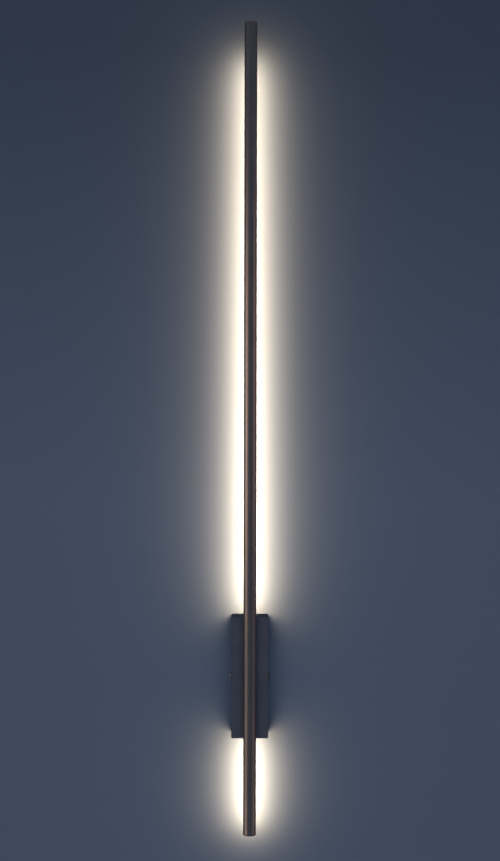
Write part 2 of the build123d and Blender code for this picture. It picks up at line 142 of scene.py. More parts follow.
def objectPosition(tree):
    return addNode(tree, "ShaderNodeTexCoord").outputs["Object"]


def separated(tree, vector):
    return addNode(tree, "ShaderNodeSeparateXYZ", {"Vector": vector}).outputs


def newTree(name, kind, inputs, outputs):
    tree = bpy.data.node_groups.new(name, kind)
    for label, socketKind, value in inputs:
        socket = tree.interface.new_socket(label, in_out="INPUT", socket_type=socketKind)
        if value is not None:
            socket.default_value = value
    for label, socketKind in outputs:
        tree.interface.new_socket(label, in_out="OUTPUT", socket_type=socketKind)
    start = tree.nodes.new("NodeGroupInput")
    end = tree.nodes.new("NodeGroupOutput")
    return tree, start.outputs, end.inputs


def newGeometryTree(name, inputs):
    fields = [("Geometry", "NodeSocketGeometry", None)]
    fields += [(label, "NodeSocket" + kind, value) for label, kind, value in inputs]
    fields.append(("Material", "NodeSocketMaterial", None))
    return newTree(name, "GeometryNodeTree", fields, [("Geometry", "NodeSocketGeometry")])


def closeTree(tree, geometry, start, end):
    # Every tree ends in plain geometry with its material
    real = addNode(tree, "GeometryNodeRealizeInstances", {"Geometry": geometry})
    painted = addNode(
        tree, "GeometryNodeSetMaterial", {"Geometry": real.outputs[0], "Material": start["Material"]}
    )
    tree.links.new(painted.outputs[0], end["Geometry"])
    return tree


def grow(name, source, tree, values, sharpAngle=softAngle):
    # Runs a tree on the source and keeps the result as a plain mesh
    seed = bpy.data.objects.new(name + "Source", source)
    scene.collection.objects.link(seed)
    modifier = seed.modifiers.new(tree.name, "NODES")
    modifier.node_group = tree
    for item in tree.interface.items_tree:
        if item.in_out == "INPUT" and item.name in values:
            modifier[item.identifier] = values[item.name]
    graph = bpy.context.evaluated_depsgraph_get()
    mesh = bpy.data.meshes.new_from_object(
        seed.evaluated_get(graph), preserve_all_data_layers=True, depsgraph=graph
    )
    seed.modifiers.remove(modifier)
    bpy.data.objects.remove(seed)
    return place(name, mesh, values.get("Material"), sharpAngle)


def settleModifiers(piece):
    # What the modifiers make becomes the piece's own mesh
    graph = bpy.context.evaluated_depsgraph_get()
    mesh = bpy.data.meshes.new_from_object(
        piece.evaluated_get(graph), preserve_all_data_layers=True, depsgraph=graph
    )
    piece.modifiers.clear()
    piece.data = mesh
    mesh.name = piece.name


def shade(piece, sharpAngle):
    # Smooth over soft edges, with the large flat faces kept flat
    piece.data.shade_smooth()
    piece.data.set_sharp_from_angle(angle=math.radians(sharpAngle))
    weighted = piece.modifiers.new("flatFaces", "WEIGHTED_NORMAL")
    weighted.keep_sharp = True
    settleModifiers(piece)


def place(name, mesh, material, sharpAngle=softAngle):
    mesh.name = name
    if material is not None and not mesh.materials:
        mesh.materials.append(material)
    piece = bpy.data.objects.new(name, mesh)
    scene.collection.objects.link(piece)
    shade(piece, sharpAngle)
    return piece


def makeExtrusionTree():
    # A flat closed outline in the local XY plane becomes a bar from Low to High
    tree, start, end = newGeometryTree("extrudedBar", [("Low", "Float", 0.0), ("High", "Float", 1.0)])
    filled = addNode(tree, "GeometryNodeFillCurve", {"Curve": start["Geometry"]}, mode="NGONS")
    lift = addNode(tree, "ShaderNodeCombineXYZ", {"Z": start["Low"]})
    bottom = addNode(
        tree, "GeometryNodeSetPosition", {"Geometry": filled.outputs[0], "Offset": lift.outputs[0]}
    )
    length = calculate(tree, "SUBTRACT", start["High"], start["Low"])
    rise = addNode(tree, "ShaderNodeCombineXYZ", {"Z": length})
    raised = addNode(
        tree, "GeometryNodeExtrudeMesh",
        {"Mesh": bottom.outputs[0], "Offset": rise.outputs[0], "Offset Scale": 1.0, "Individual": False},
        mode="FACES",
    )
    under = addNode(tree, "GeometryNodeFlipFaces", {"Mesh": bottom.outputs[0]})
    joined = addNode(tree, "GeometryNodeJoinGeometry")
    tree.links.new(raised.outputs["Mesh"], joined.inputs[0])
    tree.links.new(under.outputs[0], joined.inputs[0])
    merged = addNode(
        tree, "GeometryNodeMergeByDistance", {"Geometry": joined.outputs[0], "Distance": touchDistance}
    )
    return closeTree(tree, merged.outputs[0], start, end)


def makeTurningTree():
    # Turns a profile about Z and sets a copy at each place. The profile's points hold radius and
    # height, and say where the section is a hexagon and where it has a thread.
    inputs = [
        ("Segments", "Int", 48), ("Pitch", "Float", 0.5 * mm), ("Thread Depth", "Float", 0.0),
        ("Places", "Object", None), ("Turn", "Vector", None),
    ]
    tree, start, end = newGeometryTree("turnedPieces", inputs)
    profile = start["Geometry"]
    size = addNode(tree, "GeometryNodeAttributeDomainSize", {"Geometry": profile}, component="MESH")
    rows = size.outputs["Point Count"]
    columns = calculate(tree, "ADD", start["Segments"], 1.0)
    grid = addNode(
        tree, "GeometryNodeMeshGrid",
        {"Size X": 1.0, "Size Y": 1.0, "Vertices X": columns, "Vertices Y": rows},
    )
    position = addNode(tree, "GeometryNodeInputPosition").outputs[0]
    spot = separated(tree, position)
    angle = calculate(tree, "MULTIPLY", calculate(tree, "ADD", spot["X"], 0.5), 2 * math.pi)
    lastRow = calculate(tree, "SUBTRACT", rows, 1.0)
    across = calculate(tree, "MULTIPLY", calculate(tree, "ADD", spot["Y"], 0.5), lastRow)
    row = calculate(tree, "ROUND", across)

    def sampled(value, kind):
        return addNode(
            tree, "GeometryNodeSampleIndex", {"Geometry": profile, "Value": value, "Index": row},
            data_type=kind,
        ).outputs[0]

    def marked(label):
        field = addNode(tree, "GeometryNodeInputNamedAttribute", {"Name": label}, data_type="FLOAT")
        return sampled(field.outputs["Attribute"], "FLOAT")

    section = separated(tree, sampled(position, "FLOAT_VECTOR"))
    radius, height = section["X"], section["Z"]
    side = math.pi / 3
    folded = calculate(tree, "MODULO", calculate(tree, "ADD", angle, side / 2), side)
    cosine = calculate(tree, "COSINE", calculate(tree, "SUBTRACT", folded, side / 2))
    bulge = calculate(tree, "SUBTRACT", calculate(tree, "DIVIDE", 1.0, cosine), 1.0)
    hexagonal = calculate(tree, "MULTIPLY_ADD", marked("hexagon"), bulge, 1.0)
    climb = calculate(tree, "SUBTRACT", calculate(tree, "DIVIDE", height, start["Pitch"]),
                      calculate(tree, "DIVIDE", angle, 2 * math.pi))
    groove = calculate(tree, "MULTIPLY", calculate(tree, "PINGPONG", climb, 0.5), 2.0)
    cut = calculate(tree, "MULTIPLY", calculate(tree, "MULTIPLY", groove, start["Thread Depth"]),
                    marked("thread"))
    reach = calculate(tree, "SUBTRACT", calculate(tree, "MULTIPLY", radius, hexagonal), cut)
    point = addNode(tree, "ShaderNodeCombineXYZ", {
        "X": calculate(tree, "MULTIPLY", reach, calculate(tree, "COSINE", angle)),
        "Y": calculate(tree, "MULTIPLY", reach, calculate(tree, "SINE", angle)),
        "Z": height,
    })
    shaped = addNode(
        tree, "GeometryNodeSetPosition", {"Geometry": grid.outputs["Mesh"], "Position": point.outputs[0]}
    )
    merged = addNode(
        tree, "GeometryNodeMergeByDistance", {"Geometry": shaped.outputs[0], "Distance": weldDistance}
    )
    places = addNode(tree, "GeometryNodeObjectInfo", {"Object": start["Places"]})
    turn = addNode(tree, "FunctionNodeEulerToRotation", {"Euler": start["Turn"]})
    copies = addNode(
        tree, "GeometryNodeInstanceOnPoints",
        {"Points": places.outputs["Geometry"], "Instance": merged.outputs[0], "Rotation": turn.outputs[0]},
    )
    return closeTree(tree, copies.outputs[0], start, end)


def makeRowTree():
    # Copies of one small piece, a steady step apart
    inputs = [("Count", "Int", 1), ("First", "Vector", None), ("Step", "Vector", None)]
    tree, start, end = newGeometryTree("rowOfPieces", inputs)
    line = addNode(
        tree, "GeometryNodeMeshLine",
        {"Count": start["Count"], "Start Location": start["First"], "Offset": start["Step"]},
    )
    copies = addNode(
        tree, "GeometryNodeInstanceOnPoints",
        {"Points": line.outputs[0], "Instance": start["Geometry"]},
    )
    return closeTree(tree, copies.outputs[0], start, end)


def makeLeadTree():
    # A round insulated lead along a smooth route
    inputs = [("Diameter", "Float", 2 * mm), ("Sides", "Int", 20)]
    tree, start, end = newGeometryTree("insulatedLead", inputs)
    ring = addNode(
        tree, "GeometryNodeCurvePrimitiveCircle",
        {"Resolution": start["Sides"], "Radius": calculate(tree, "DIVIDE", start["Diameter"], 2.0)},
    )
    turn = addNode(tree, "GeometryNodeSplineParameter").outputs["Factor"]
    facing = calculate(tree, "COSINE", calculate(tree, "MULTIPLY", turn, 2 * math.pi))
    marked = addNode(
        tree, "GeometryNodeStoreNamedAttribute",
        {"Geometry": ring.outputs[0], "Name": "stripe", "Value": facing}, data_type="FLOAT",
    )
    lead = addNode(
        tree, "GeometryNodeCurveToMesh",
        {"Curve": start["Geometry"], "Profile Curve": marked.outputs[0], "Fill Caps": True},
    )
    return closeTree(tree, lead.outputs[0], start, end)


extrusionTree = makeExtrusionTree()
turningTree = makeTurningTree()
rowTree = makeRowTree()
leadTree = makeLeadTree()
print("geometry trees made")


def makeNoise(tree, vector, size, detail=3.0, roughness=0.5):
    # Soft noise, with patches of about this size
    scale = calculate(tree, "DIVIDE", 1.0, size)
    inputs = {"Vector": vector, "Scale": scale, "Detail": detail, "Roughness": roughness}
    return addNode(tree, "ShaderNodeTexNoise", inputs).outputs[0]


def spread(tree, value, low, high, newLow=0.0, newHigh=1.0):
    inputs = {"Value": value, "From Min": low, "From Max": high, "To Min": newLow, "To Max": newHigh}
    return addNode(tree, "ShaderNodeMapRange", inputs).outputs["Result"]


grainLook = {"patchDetail": 4.0, "patchRange": (0.3, 0.7)}


def makeGrainGroup():
    # Fine grain, which may be drawn out along one axis, and larger soft patches
    inputs = [
        ("grainSize", "NodeSocketFloat", 0.5 * mm), ("draw", "NodeSocketVector", (1.0, 1.0, 1.0)),
        ("patchSize", "NodeSocketFloat", 30 * mm),
    ]
    outputs = [("grain", "NodeSocketFloat"), ("patches", "NodeSocketFloat")]
    tree, start, end = newTree("surfaceGrain", "ShaderNodeTree", inputs, outputs)
    position = objectPosition(tree)
    drawn = addNode(tree, "ShaderNodeVectorMath", {0: position, 1: start["draw"]}, operation="MULTIPLY")
    patches = makeNoise(tree, position, start["patchSize"], grainLook["patchDetail"])
    tree.links.new(makeNoise(tree, drawn.outputs[0], start["grainSize"]), end["grain"])
    tree.links.new(spread(tree, patches, *grainLook["patchRange"]), end["patches"])
    return tree


wearLook = {
    "bevelSamples": 6,
    "edgeRange": (0.015, 0.12),     # how far a rounded copy turns away from the surface
    "detail": 5.0,
    "roughness": 0.7,
    "brokenRange": (0.42, 0.62),
}


def makeWearGroup():
    # Edges, found by comparing the surface with a rounded copy of itself, and broken up by noise
    look = wearLook
    inputs = [("edgeWidth", "NodeSocketFloat", 0.4 * mm), ("breakUp", "NodeSocketFloat", 3 * mm)]
    tree, start, end = newTree("edgeWear", "ShaderNodeTree", inputs, [("mask", "NodeSocketFloat")])
    rounded = addNode(tree, "ShaderNodeBevel", {"Radius": start["edgeWidth"]}, samples=look["bevelSamples"])
    surface = addNode(tree, "ShaderNodeNewGeometry").outputs["Normal"]
    match = addNode(
        tree, "ShaderNodeVectorMath", {0: rounded.outputs[0], 1: surface}, operation="DOT_PRODUCT"
    )
    edge = spread(tree, calculate(tree, "SUBTRACT", 1.0, match.outputs["Value"]), *look["edgeRange"])
    noise = makeNoise(tree, objectPosition(tree), start["breakUp"], look["detail"], look["roughness"])
    broken = spread(tree, noise, *look["brokenRange"])
    tree.links.new(calculate(tree, "MULTIPLY", edge, broken), end["mask"])
    return tree


dustLook = {"upward": (0.35, 1.0), "detail": 6.0, "roughness": 0.8, "scatter": (0.35, 0.75)}


def makeDustGroup():
    # Fine dust that has settled on what faces up
    look = dustLook
    inputs = [("dustAmount", "NodeSocketFloat", 0.2), ("fleckSize", "NodeSocketFloat", 1.2 * mm)]
    tree, start, end = newTree("settledDust", "ShaderNodeTree", inputs, [("mask", "NodeSocketFloat")])
    surface = addNode(tree, "ShaderNodeNewGeometry").outputs["Normal"]
    lying = spread(tree, separated(tree, surface)["Z"], *look["upward"])
    flecks = makeNoise(tree, objectPosition(tree), start["fleckSize"], look["detail"], look["roughness"])
    scattered = calculate(tree, "MULTIPLY", lying, spread(tree, flecks, *look["scatter"]))
    tree.links.new(calculate(tree, "MULTIPLY", scattered, start["dustAmount"]), end["mask"])
    return tree


grainGroup = makeGrainGroup()
wearGroup = makeWearGroup()
dustGroup = makeDustGroup()


def useGroup(tree, group, look):
    # The look's values go to the group's inputs of the same names
    made = tree.nodes.new("ShaderNodeGroup")
    made.node_tree = group
    for socket in made.inputs:
        if socket.name in look:
            socket.default_value = look[socket.name]
    return made.outputs


def mixColour(tree, factor, first, second):
    # The node's inputs 6 and 7 are the two colours
    made = addNode(tree, "ShaderNodeMix", data_type="RGBA")
    for index, value in ((0, factor), (6, first), (7, second)):
        if isinstance(value, bpy.types.NodeSocket):
            tree.links.new(value, made.inputs[index])
        else:
            made.inputs[index].default_value = (*value, 1.0)
    return made.outputs[2]


def newMaterial(name, **settings):
    material = bpy.data.materials.new(name)
    material.use_nodes = True
    tree = material.node_tree
    shader = tree.nodes["Principled BSDF"]
    for key, value in settings.items():
        shader.inputs[key].default_value = value
    return material, tree, shader


def connect(tree, shader, look, colour, roughness, height):
    # The bump's strength and depth come from the look
    tree.links.new(colour, shader.inputs["Base Color"])
    if roughness is not None:
        tree.links.new(roughness, shader.inputs["Roughness"])
    inputs = {"Height": height, "Strength": look["bump"], "Distance": look["bumpDepth"]}
    bump = addNode(tree, "ShaderNodeBump", inputs)
    tree.links.new(bump.outputs[0], shader.inputs["Normal"])


coatings = {
    "tubeCoat": {"dark": (0.009, 0.012, 0.018), "light": (0.014, 0.017, 0.024), "roughness": (0.34, 0.44),
                 "specular": 0.20, "patchSize": 45 * mm, "drawn": (1.0, 1.0, 0.02)},
    "capCoat": {"dark": (0.011, 0.012, 0.015), "light": (0.018, 0.019, 0.023), "roughness": (0.46, 0.56),
                "specular": 0.22, "patchSize": 8 * mm, "drawn": (1.0, 1.0, 1.0)},
    # The canopy coat's blue tint is partly painted reflection: a near-black coat, tinted blue for the dim
    # bluish room it would reflect, as it is given no specular
    "canopyCoat": {"dark": (0.024, 0.028, 0.041), "light": (0.031, 0.035, 0.050), "roughness": (0.60, 0.70),
                   "specular": 0.0, "patchSize": 30 * mm, "drawn": (1.0, 1.0, 1.0)},
}
coatLook = {
    "grainSize": 0.55 * mm,
    "drawnGrain": 0.9 * mm,
    "drawnPatch": 6 * mm,
    "drawnHeight": 0.35,
    "wornEdge": (0.075, 0.078, 0.085),
    "wornShare": 0.5,
    "edgeWidth": 0.35 * mm,
    "breakUp": 2.5 * mm,
    "dust": (0.32, 0.31, 0.29),
    "dustAmount": 0.03,
    "dustRoughness": 0.5,
    "fleckSize": 0.7 * mm,
    "bump": 0.16,
    "bumpDepth": 0.1 * mm,
}


def makeCoating(name):
    # Black powder coat: fine orange peel, slightly uneven gloss, edges a little polished
    look = {**coatLook, **coatings[name]}
    material, tree, shader = newMaterial(name, **{"Specular IOR Level": look["specular"]})
    grain = useGroup(tree, grainGroup, look)
    drawnLook = {"grainSize": look["drawnGrain"], "draw": look["drawn"], "patchSize": look["drawnPatch"]}
    drawn = useGroup(tree, grainGroup, drawnLook)
    worn = useGroup(tree, wearGroup, look)
    dust = useGroup(tree, dustGroup, look)
    polished = calculate(tree, "MULTIPLY", worn["mask"], look["wornShare"])
    colour = mixColour(tree, grain["patches"], look["dark"], look["light"])
    colour = mixColour(tree, polished, colour, look["wornEdge"])
    colour = mixColour(tree, dust["mask"], colour, look["dust"])
    roughness = spread(tree, drawn["patches"], 0.0, 1.0, *look["roughness"])
    roughness = calculate(tree, "MULTIPLY_ADD", dust["mask"], look["dustRoughness"], roughness)
    height = calculate(tree, "MULTIPLY_ADD", drawn["grain"], look["drawnHeight"], grain["grain"])
    connect(tree, shader, look, colour, roughness, height)
    return material


platings = {
    "zinc_steel": {"dark": (0.56, 0.58, 0.60), "light": (0.64, 0.65, 0.65), "roughness": (0.30, 0.40)},
    "tinned_copper": {"dark": (0.60, 0.59, 0.56), "light": (0.78, 0.77, 0.74), "roughness": (0.22, 0.36)},
    "brass": {"dark": (0.58, 0.42, 0.17), "light": (0.78, 0.61, 0.30), "roughness": (0.24, 0.40)},
    "black_screw": {"dark": (0.014, 0.014, 0.016), "light": (0.024, 0.024, 0.027),
                    "roughness": (0.30, 0.42), "metallic": 0.6},
}
platingLook = {
    "metallic": 1.0,
    "grainSize": 0.4 * mm,
    "draw": (1.0, 1.0, 0.06),
    "patchSize": 9 * mm,
    "grainRange": (0.3, 0.7),
    "edgeWidth": 0.2 * mm,
    "breakUp": 1.0 * mm,
    "edgeGain": 1.3,
    "edgeLift": 0.02,
    "bump": 0.05,
    "bumpDepth": 0.1 * mm,
}


def makePlating(name):
    # Bare or plated metal: mottled sheen, rolling lines and brighter edges
    look = {**platingLook, **platings[name]}
    material, tree, shader = newMaterial(name, Metallic=look["metallic"])
    grain = useGroup(tree, grainGroup, look)
    worn = useGroup(tree, wearGroup, look)
    bright = tuple(min(1.0, look["edgeGain"] * value + look["edgeLift"]) for value in look["light"])
    colour = mixColour(tree, grain["patches"], look["dark"], look["light"])
    colour = mixColour(tree, worn["mask"], colour, bright)
    roughness = spread(tree, grain["grain"], *look["grainRange"], *look["roughness"])
    connect(tree, shader, look, colour, roughness, grain["grain"])
    return material


plastics = {
    "white_plastic": {"dark": (0.71, 0.71, 0.68), "light": (0.75, 0.75, 0.72), "roughness": (0.42, 0.55)},
    "natural_nylon": {"dark": (0.70, 0.67, 0.57), "light": (0.76, 0.74, 0.64), "roughness": (0.34, 0.48)},
    "black_rubber": {"dark": (0.018, 0.018, 0.018), "light": (0.035, 0.034, 0.033),
                     "roughness": (0.60, 0.80)},
    "ferrite": {"dark": (0.050, 0.050, 0.054), "light": (0.095, 0.094, 0.097), "roughness": (0.60, 0.80)},
    "capacitor_sleeve": {"dark": (0.020, 0.024, 0.040), "light": (0.034, 0.042, 0.070),
                         "roughness": (0.16, 0.26)},
    "led_package": {"dark": (0.80, 0.79, 0.74), "light": (0.90, 0.89, 0.85), "roughness": (0.30, 0.42)},
    "brown_wire": {"dark": (0.13, 0.055, 0.025), "light": (0.19, 0.085, 0.04)},
    "blue_wire": {"dark": (0.018, 0.085, 0.33), "light": (0.03, 0.125, 0.44)},
    "red_wire": {"dark": (0.42, 0.025, 0.02), "light": (0.55, 0.045, 0.035)},
    "black_wire": {"dark": (0.016, 0.016, 0.017), "light": (0.03, 0.03, 0.032)},
}
plasticLook = {
    "roughness": (0.34, 0.46),
    "grainSize": 0.25 * mm,
    "patchSize": 8 * mm,
    "dust": (0.45, 0.43, 0.40),
    "dustAmount": 0.08,
    "fleckSize": 0.6 * mm,
    "bump": 0.10,
    "bumpDepth": 0.05 * mm,
}


def makePlastic(name):
    # Moulded or extruded plastic with a fine spark-eroded grain
    look = {**plasticLook, **plastics[name]}
    material, tree, shader = newMaterial(name)
    grain = useGroup(tree, grainGroup, look)
    dust = useGroup(tree, dustGroup, look)
    colour = mixColour(tree, grain["patches"], look["dark"], look["light"])
    colour = mixColour(tree, dust["mask"], colour, look["dust"])
    roughness = spread(tree, grain["patches"], 0.0, 1.0, *look["roughness"])
    connect(tree, shader, look, colour, roughness, grain["grain"])
    return material


earthWireLook = {
    "dark": (0.02, 0.20, 0.035),
    "light": (0.03, 0.27, 0.05),
    "stripe": (0.78, 0.62, 0.03),
    "stripeEdge": (0.25, 0.35),
    "roughness": (0.34, 0.46),
    "grainSize": 0.25 * mm,
    "patchSize": 8 * mm,
    "bump": 0.08,
    "bumpDepth": 0.1 * mm,
}


def makeEarthWire():
    # Green insulation with a yellow stripe along one side
    look = earthWireLook
    material, tree, shader = newMaterial("greenYellowWire")
    grain = useGroup(tree, grainGroup, look)
    around = addNode(tree, "ShaderNodeAttribute", attribute_name="stripe").outputs["Fac"]
    green = mixColour(tree, grain["patches"], look["dark"], look["light"])
    colour = mixColour(tree, spread(tree, around, *look["stripeEdge"]), green, look["stripe"])
    roughness = spread(tree, grain["patches"], 0.0, 1.0, *look["roughness"])
    connect(tree, shader, look, colour, roughness, grain["grain"])
    return material


boards = {
    "whiteBoard": {"plain": (0.80, 0.81, 0.79), "overTrace": (0.70, 0.71, 0.67)},
    "greenBoard": {"plain": (0.012, 0.105, 0.045), "overTrace": (0.03, 0.17, 0.07)},
}
boardLook = {
    "traceCentre": 3.9 * mm,
    "traceHalfWidth": 0.5 * mm,
    "traceEdge": 0.05 * mm,
    "mottle": 0.12,
    "grainSize": 0.3 * mm,
    "patchSize": 10 * mm,
    "grainRange": (0.3, 0.7),
    "roughness": (0.28, 0.40),
    "bump": 0.3,
    "bumpDepth": 0.04 * mm,
}
black = (0.0, 0.0, 0.0)


def makeCircuitBoard(name):
    # Solder mask, with the copper tracks along the board showing faintly through it
    look = {**boardLook, **boards[name]}
    material, tree, shader = newMaterial(name)
    grain = useGroup(tree, grainGroup, look)
    across = separated(tree, objectPosition(tree))["X"]
    offCentre = calculate(tree, "SUBTRACT", calculate(tree, "ABSOLUTE", across), look["traceCentre"])
    edge = look["traceHalfWidth"]
    track = spread(tree, calculate(tree, "ABSOLUTE", offCentre), edge, edge + look["traceEdge"], 1.0, 0.0)
    mottled = calculate(tree, "MULTIPLY", grain["patches"], look["mottle"])
    colour = mixColour(tree, track, look["plain"], look["overTrace"])
    colour = mixColour(tree, mottled, colour, black)
    roughness = spread(tree, grain["grain"], *look["grainRange"], *look["roughness"])
    connect(tree, shader, look, colour, roughness, track)
    return material


opalLook = {
    "dark": (0.84, 0.81, 0.74),
    "light": (0.90, 0.88, 0.82),
    "roughness": 0.36,
    "scatter": 0.3,
    "scatterDepth": 2 * mm,
    "grainSize": 0.4 * mm,
    "draw": (1.0, 1.0, 0.05),
    "patchSize": 60 * mm,
    "bump": 0.08,
    "bumpDepth": 0.1 * mm,
}
glowLook = {
    "colour": (1.0, 0.81, 0.62),
    "strength": 3.5,
    "faceDepth": 0.4 * mm,          # only the outer face glows
    "upperSpan": (91 * mm, 922 * mm),
    "lowerSpan": (-91 * mm, -222 * mm),
    "nearFade": 4 * mm,
    "farFade": 18 * mm,
    "upperReach": (94 * mm, 926 * mm),
    "lowerReach": (-226 * mm, -94 * mm),
    "wallColour": (1.0, 0.65, 0.33),
    "radiance": 400.0,
    "lampGap": 0.1 * mm,
}


def glowSpan(tree, height, near, far):
    # One on the stretch that a light strip lies behind, from the canopy's end to the tube's end
    away = calculate(tree, "MULTIPLY", height, math.copysign(1.0, far))
    near, far = abs(near), abs(far)
    rise = spread(tree, away, near, near + glowLook["nearFade"])
    fall = spread(tree, away, far - glowLook["farFade"], far, 1.0, 0.0)
    return calculate(tree, "MULTIPLY", rise, fall)


def makeDiffuser():
    # Opal plastic that glows where a light strip lies behind it
    look = opalLook
    material, tree, shader = newMaterial("opalDiffuser", **{
        "Roughness": look["roughness"], "Subsurface Weight": look["scatter"],
        "Subsurface Scale": look["scatterDepth"], "Emission Strength": glowLook["strength"],
    })
    grain = useGroup(tree, grainGroup, look)
    position = separated(tree, objectPosition(tree))
    spans = [glowSpan(tree, position["Z"], *glowLook[key]) for key in ("upperSpan", "lowerSpan")]
    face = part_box("upper_diffuser")[1].y
    outside = calculate(tree, "GREATER_THAN", position["Y"], face - glowLook["faceDepth"])
    glow = calculate(tree, "MULTIPLY", calculate(tree, "ADD", *spans), outside)
    tree.links.new(mixColour(tree, glow, black, glowLook["colour"]), shader.inputs["Emission Color"])
    colour = mixColour(tree, grain["patches"], look["dark"], look["light"])
    connect(tree, shader, look, colour, None, grain["grain"])
    return material


materials = {
    "coated_aluminium": makeCoating("tubeCoat"),
    "coated_steel": makeCoating("canopyCoat"),
    "green_yellow_wire": makeEarthWire(),
    "white_circuit_board": makeCircuitBoard("whiteBoard"),
    "green_circuit_board": makeCircuitBoard("greenBoard"),
    "opal_diffuser": makeDiffuser(),
}
materials.update({name: makePlating(name) for name in platings})
materials.update({name: makePlastic(name) for name in plastics})
capCoat = makeCoating("capCoat")
print("materials made:", len(materials) + 1)


def arc(centre, radius, start, end, steps):
    # Both ends are included, and the angles are in radians
    angles = [start + (end - start) * i / steps for i in range(steps + 1)]
    return [(centre[0] + radius * math.cos(a), centre[1] + radius * math.sin(a)) for a in angles]


def softened(points, radius, steps=3, leastTurn=20.0, longestTrim=0.45):
    # Rounds each corner of a closed outline that turns by more than the least turn, and takes
    # no more than the longest trim, a share of each side, from the sides that meet there
    result = []
    count = len(points)
    for i, here in enumerate(points):
        corner = Vector(here)
        before = Vector(points[i - 1]) - corner
        after = Vector(points[(i + 1) % count]) - corner
        turn = math.pi - before.angle(after)
        if turn < math.radians(leastTurn):
            result.append(tuple(corner))
            continue
        room = longestTrim * min(before.length, after.length)
        trim = min(radius * math.tan(turn / 2), room)
        first = corner + before.normalized() * trim
        last = corner + after.normalized() * trim
        for k in range(steps + 1):
            t = k / steps
            point = first * (1 - t) ** 2 + corner * 2 * t * (1 - t) + last * t**2
            result.append(tuple(point))
    return result


def inset(points, distance, leastCosine=0.4):
    # Moves a closed counter-clockwise outline inwards. The least cosine keeps sharp corners short.
    moved = []
    count = len(points)
    for i, here in enumerate(points):
        corner = Vector(here)
        before = (corner - Vector(points[i - 1])).normalized()
        after = (Vector(points[(i + 1) % count]) - corner).normalized()
        inwards = Vector((-(before.y + after.y), before.x + after.x)).normalized()
        across = max(leastCosine, Vector((-after.y, after.x)).dot(inwards))
        moved.append(tuple(corner + inwards * distance / across))
    return moved


def roundedRectangle(halfWidth, halfHeight, radius, steps=8):
    points = []
    quarter = math.pi / 2
    for i, (sx, sz) in enumerate(((1, 1), (-1, 1), (-1, -1), (1, -1))):
        centre = (sx * (halfWidth - radius), sz * (halfHeight - radius))
        points += arc(centre, radius, i * quarter, (i + 1) * quarter, steps)
    return points


def loft(mesh, rings):
    # Joins closed rings with equal numbers of points, and closes both ends
    loops = [[mesh.verts.new(point) for point in ring] for ring in rings]
    for lower, upper in zip(loops, loops[1:]):
        for i in range(len(lower)):
            j = (i + 1) % len(lower)
            mesh.faces.new((lower[i], lower[j], upper[j], upper[i]))
    mesh.faces.new(loops[0][::-1])
    mesh.faces.new(loops[-1])


def settle(name, mesh, material, sharpAngle=softAngle):
    bmesh.ops.recalc_face_normals(mesh, faces=mesh.faces)
    data = bpy.data.meshes.new(name)
    mesh.to_mesh(data)
    mesh.free()
    return place(name, data, material, sharpAngle)


def outlineCurve(name, outlines, offset=(0.0, 0.0)):
    curve = bpy.data.curves.new(name, "CURVE")
    curve.dimensions = "3D"
    for points in outlines:
        spline = curve.splines.new("POLY")
        spline.points.add(len(points) - 1)
        for target, (x, y) in zip(spline.points, points):
            target.co = (x + offset[0], y + offset[1], 0.0, 1.0)
        spline.use_cyclic_u = True
    return curve


def bar(name, outlines, low, high, slot, offset):
    values = {"Low": low, "High": high, "Material": materials[slot]}
    return grow(name, outlineCurve(name, outlines, offset), extrusionTree, values)


def pointObject(name, points):
    mesh = bpy.data.meshes.new(name)
    mesh.from_pydata([tuple(p) for p in points], [], [])
    made = bpy.data.objects.new(name, mesh)
    scene.collection.objects.link(made)
    return made


def turned(name, profile, places, turn, slot, pitch=0.5 * mm, threadDepth=0.0, segments=48):
    # The profile is a list of radius, height, hexagon and thread, from below to above
    mesh = bpy.data.meshes.new(name + "Profile")
    mesh.from_pydata([(row[0], 0.0, row[1]) for row in profile], [], [])
    for label, column in (("hexagon", 2), ("thread", 3)):
        mesh.attributes.new(label, "FLOAT", "POINT").data.foreach_set(
            "value", [float(row[column]) for row in profile]
        )
    spots = pointObject(name + "Places", places)
    piece = grow(name, mesh, turningTree, {
        "Segments": segments, "Pitch": pitch, "Thread Depth": threadDepth, "Places": spots,
        "Turn": turn, "Material": materials[slot],
    })
    bpy.data.objects.remove(spots)
    return piece


def rideAndReplace(piece, body, slot, *replaced):
    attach(piece, body)
    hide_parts(*replaced)
    return piece


toWall = (-math.pi / 2, 0.0, 0.0)
toRight = (0.0, math.pi / 2, 0.0)
toLeft = (0.0, -math.pi / 2, 0.0)


tubeLook = {
    "wall": 1.4 * mm,
    "slotWidth": 8.0 * mm,
    "webThickness": 1.4 * mm,
    "webSetback": 2.0 * mm,
    "ribInner": 5.1 * mm,
    "ribWidth": 0.8 * mm,
    "ribHeight": 0.8 * mm,
    "cornerRadius": 0.3 * mm,
    "insideRadius": 0.2 * mm,
    "roundSteps": 120,
    "sideSteps": 16,
}
slotRoof = tubeFlat - tubeLook["wall"]
boreRadius = tubeRadius - tubeLook["wall"]


def roundBelow(radius, height, steps):
    # The part of a circle below a chord, counter-clockwise from the chord's left end
    chord = math.asin(height / radius)
    return arc((0.0, 0.0), radius, math.pi - chord, 2 * math.pi + chord, steps)


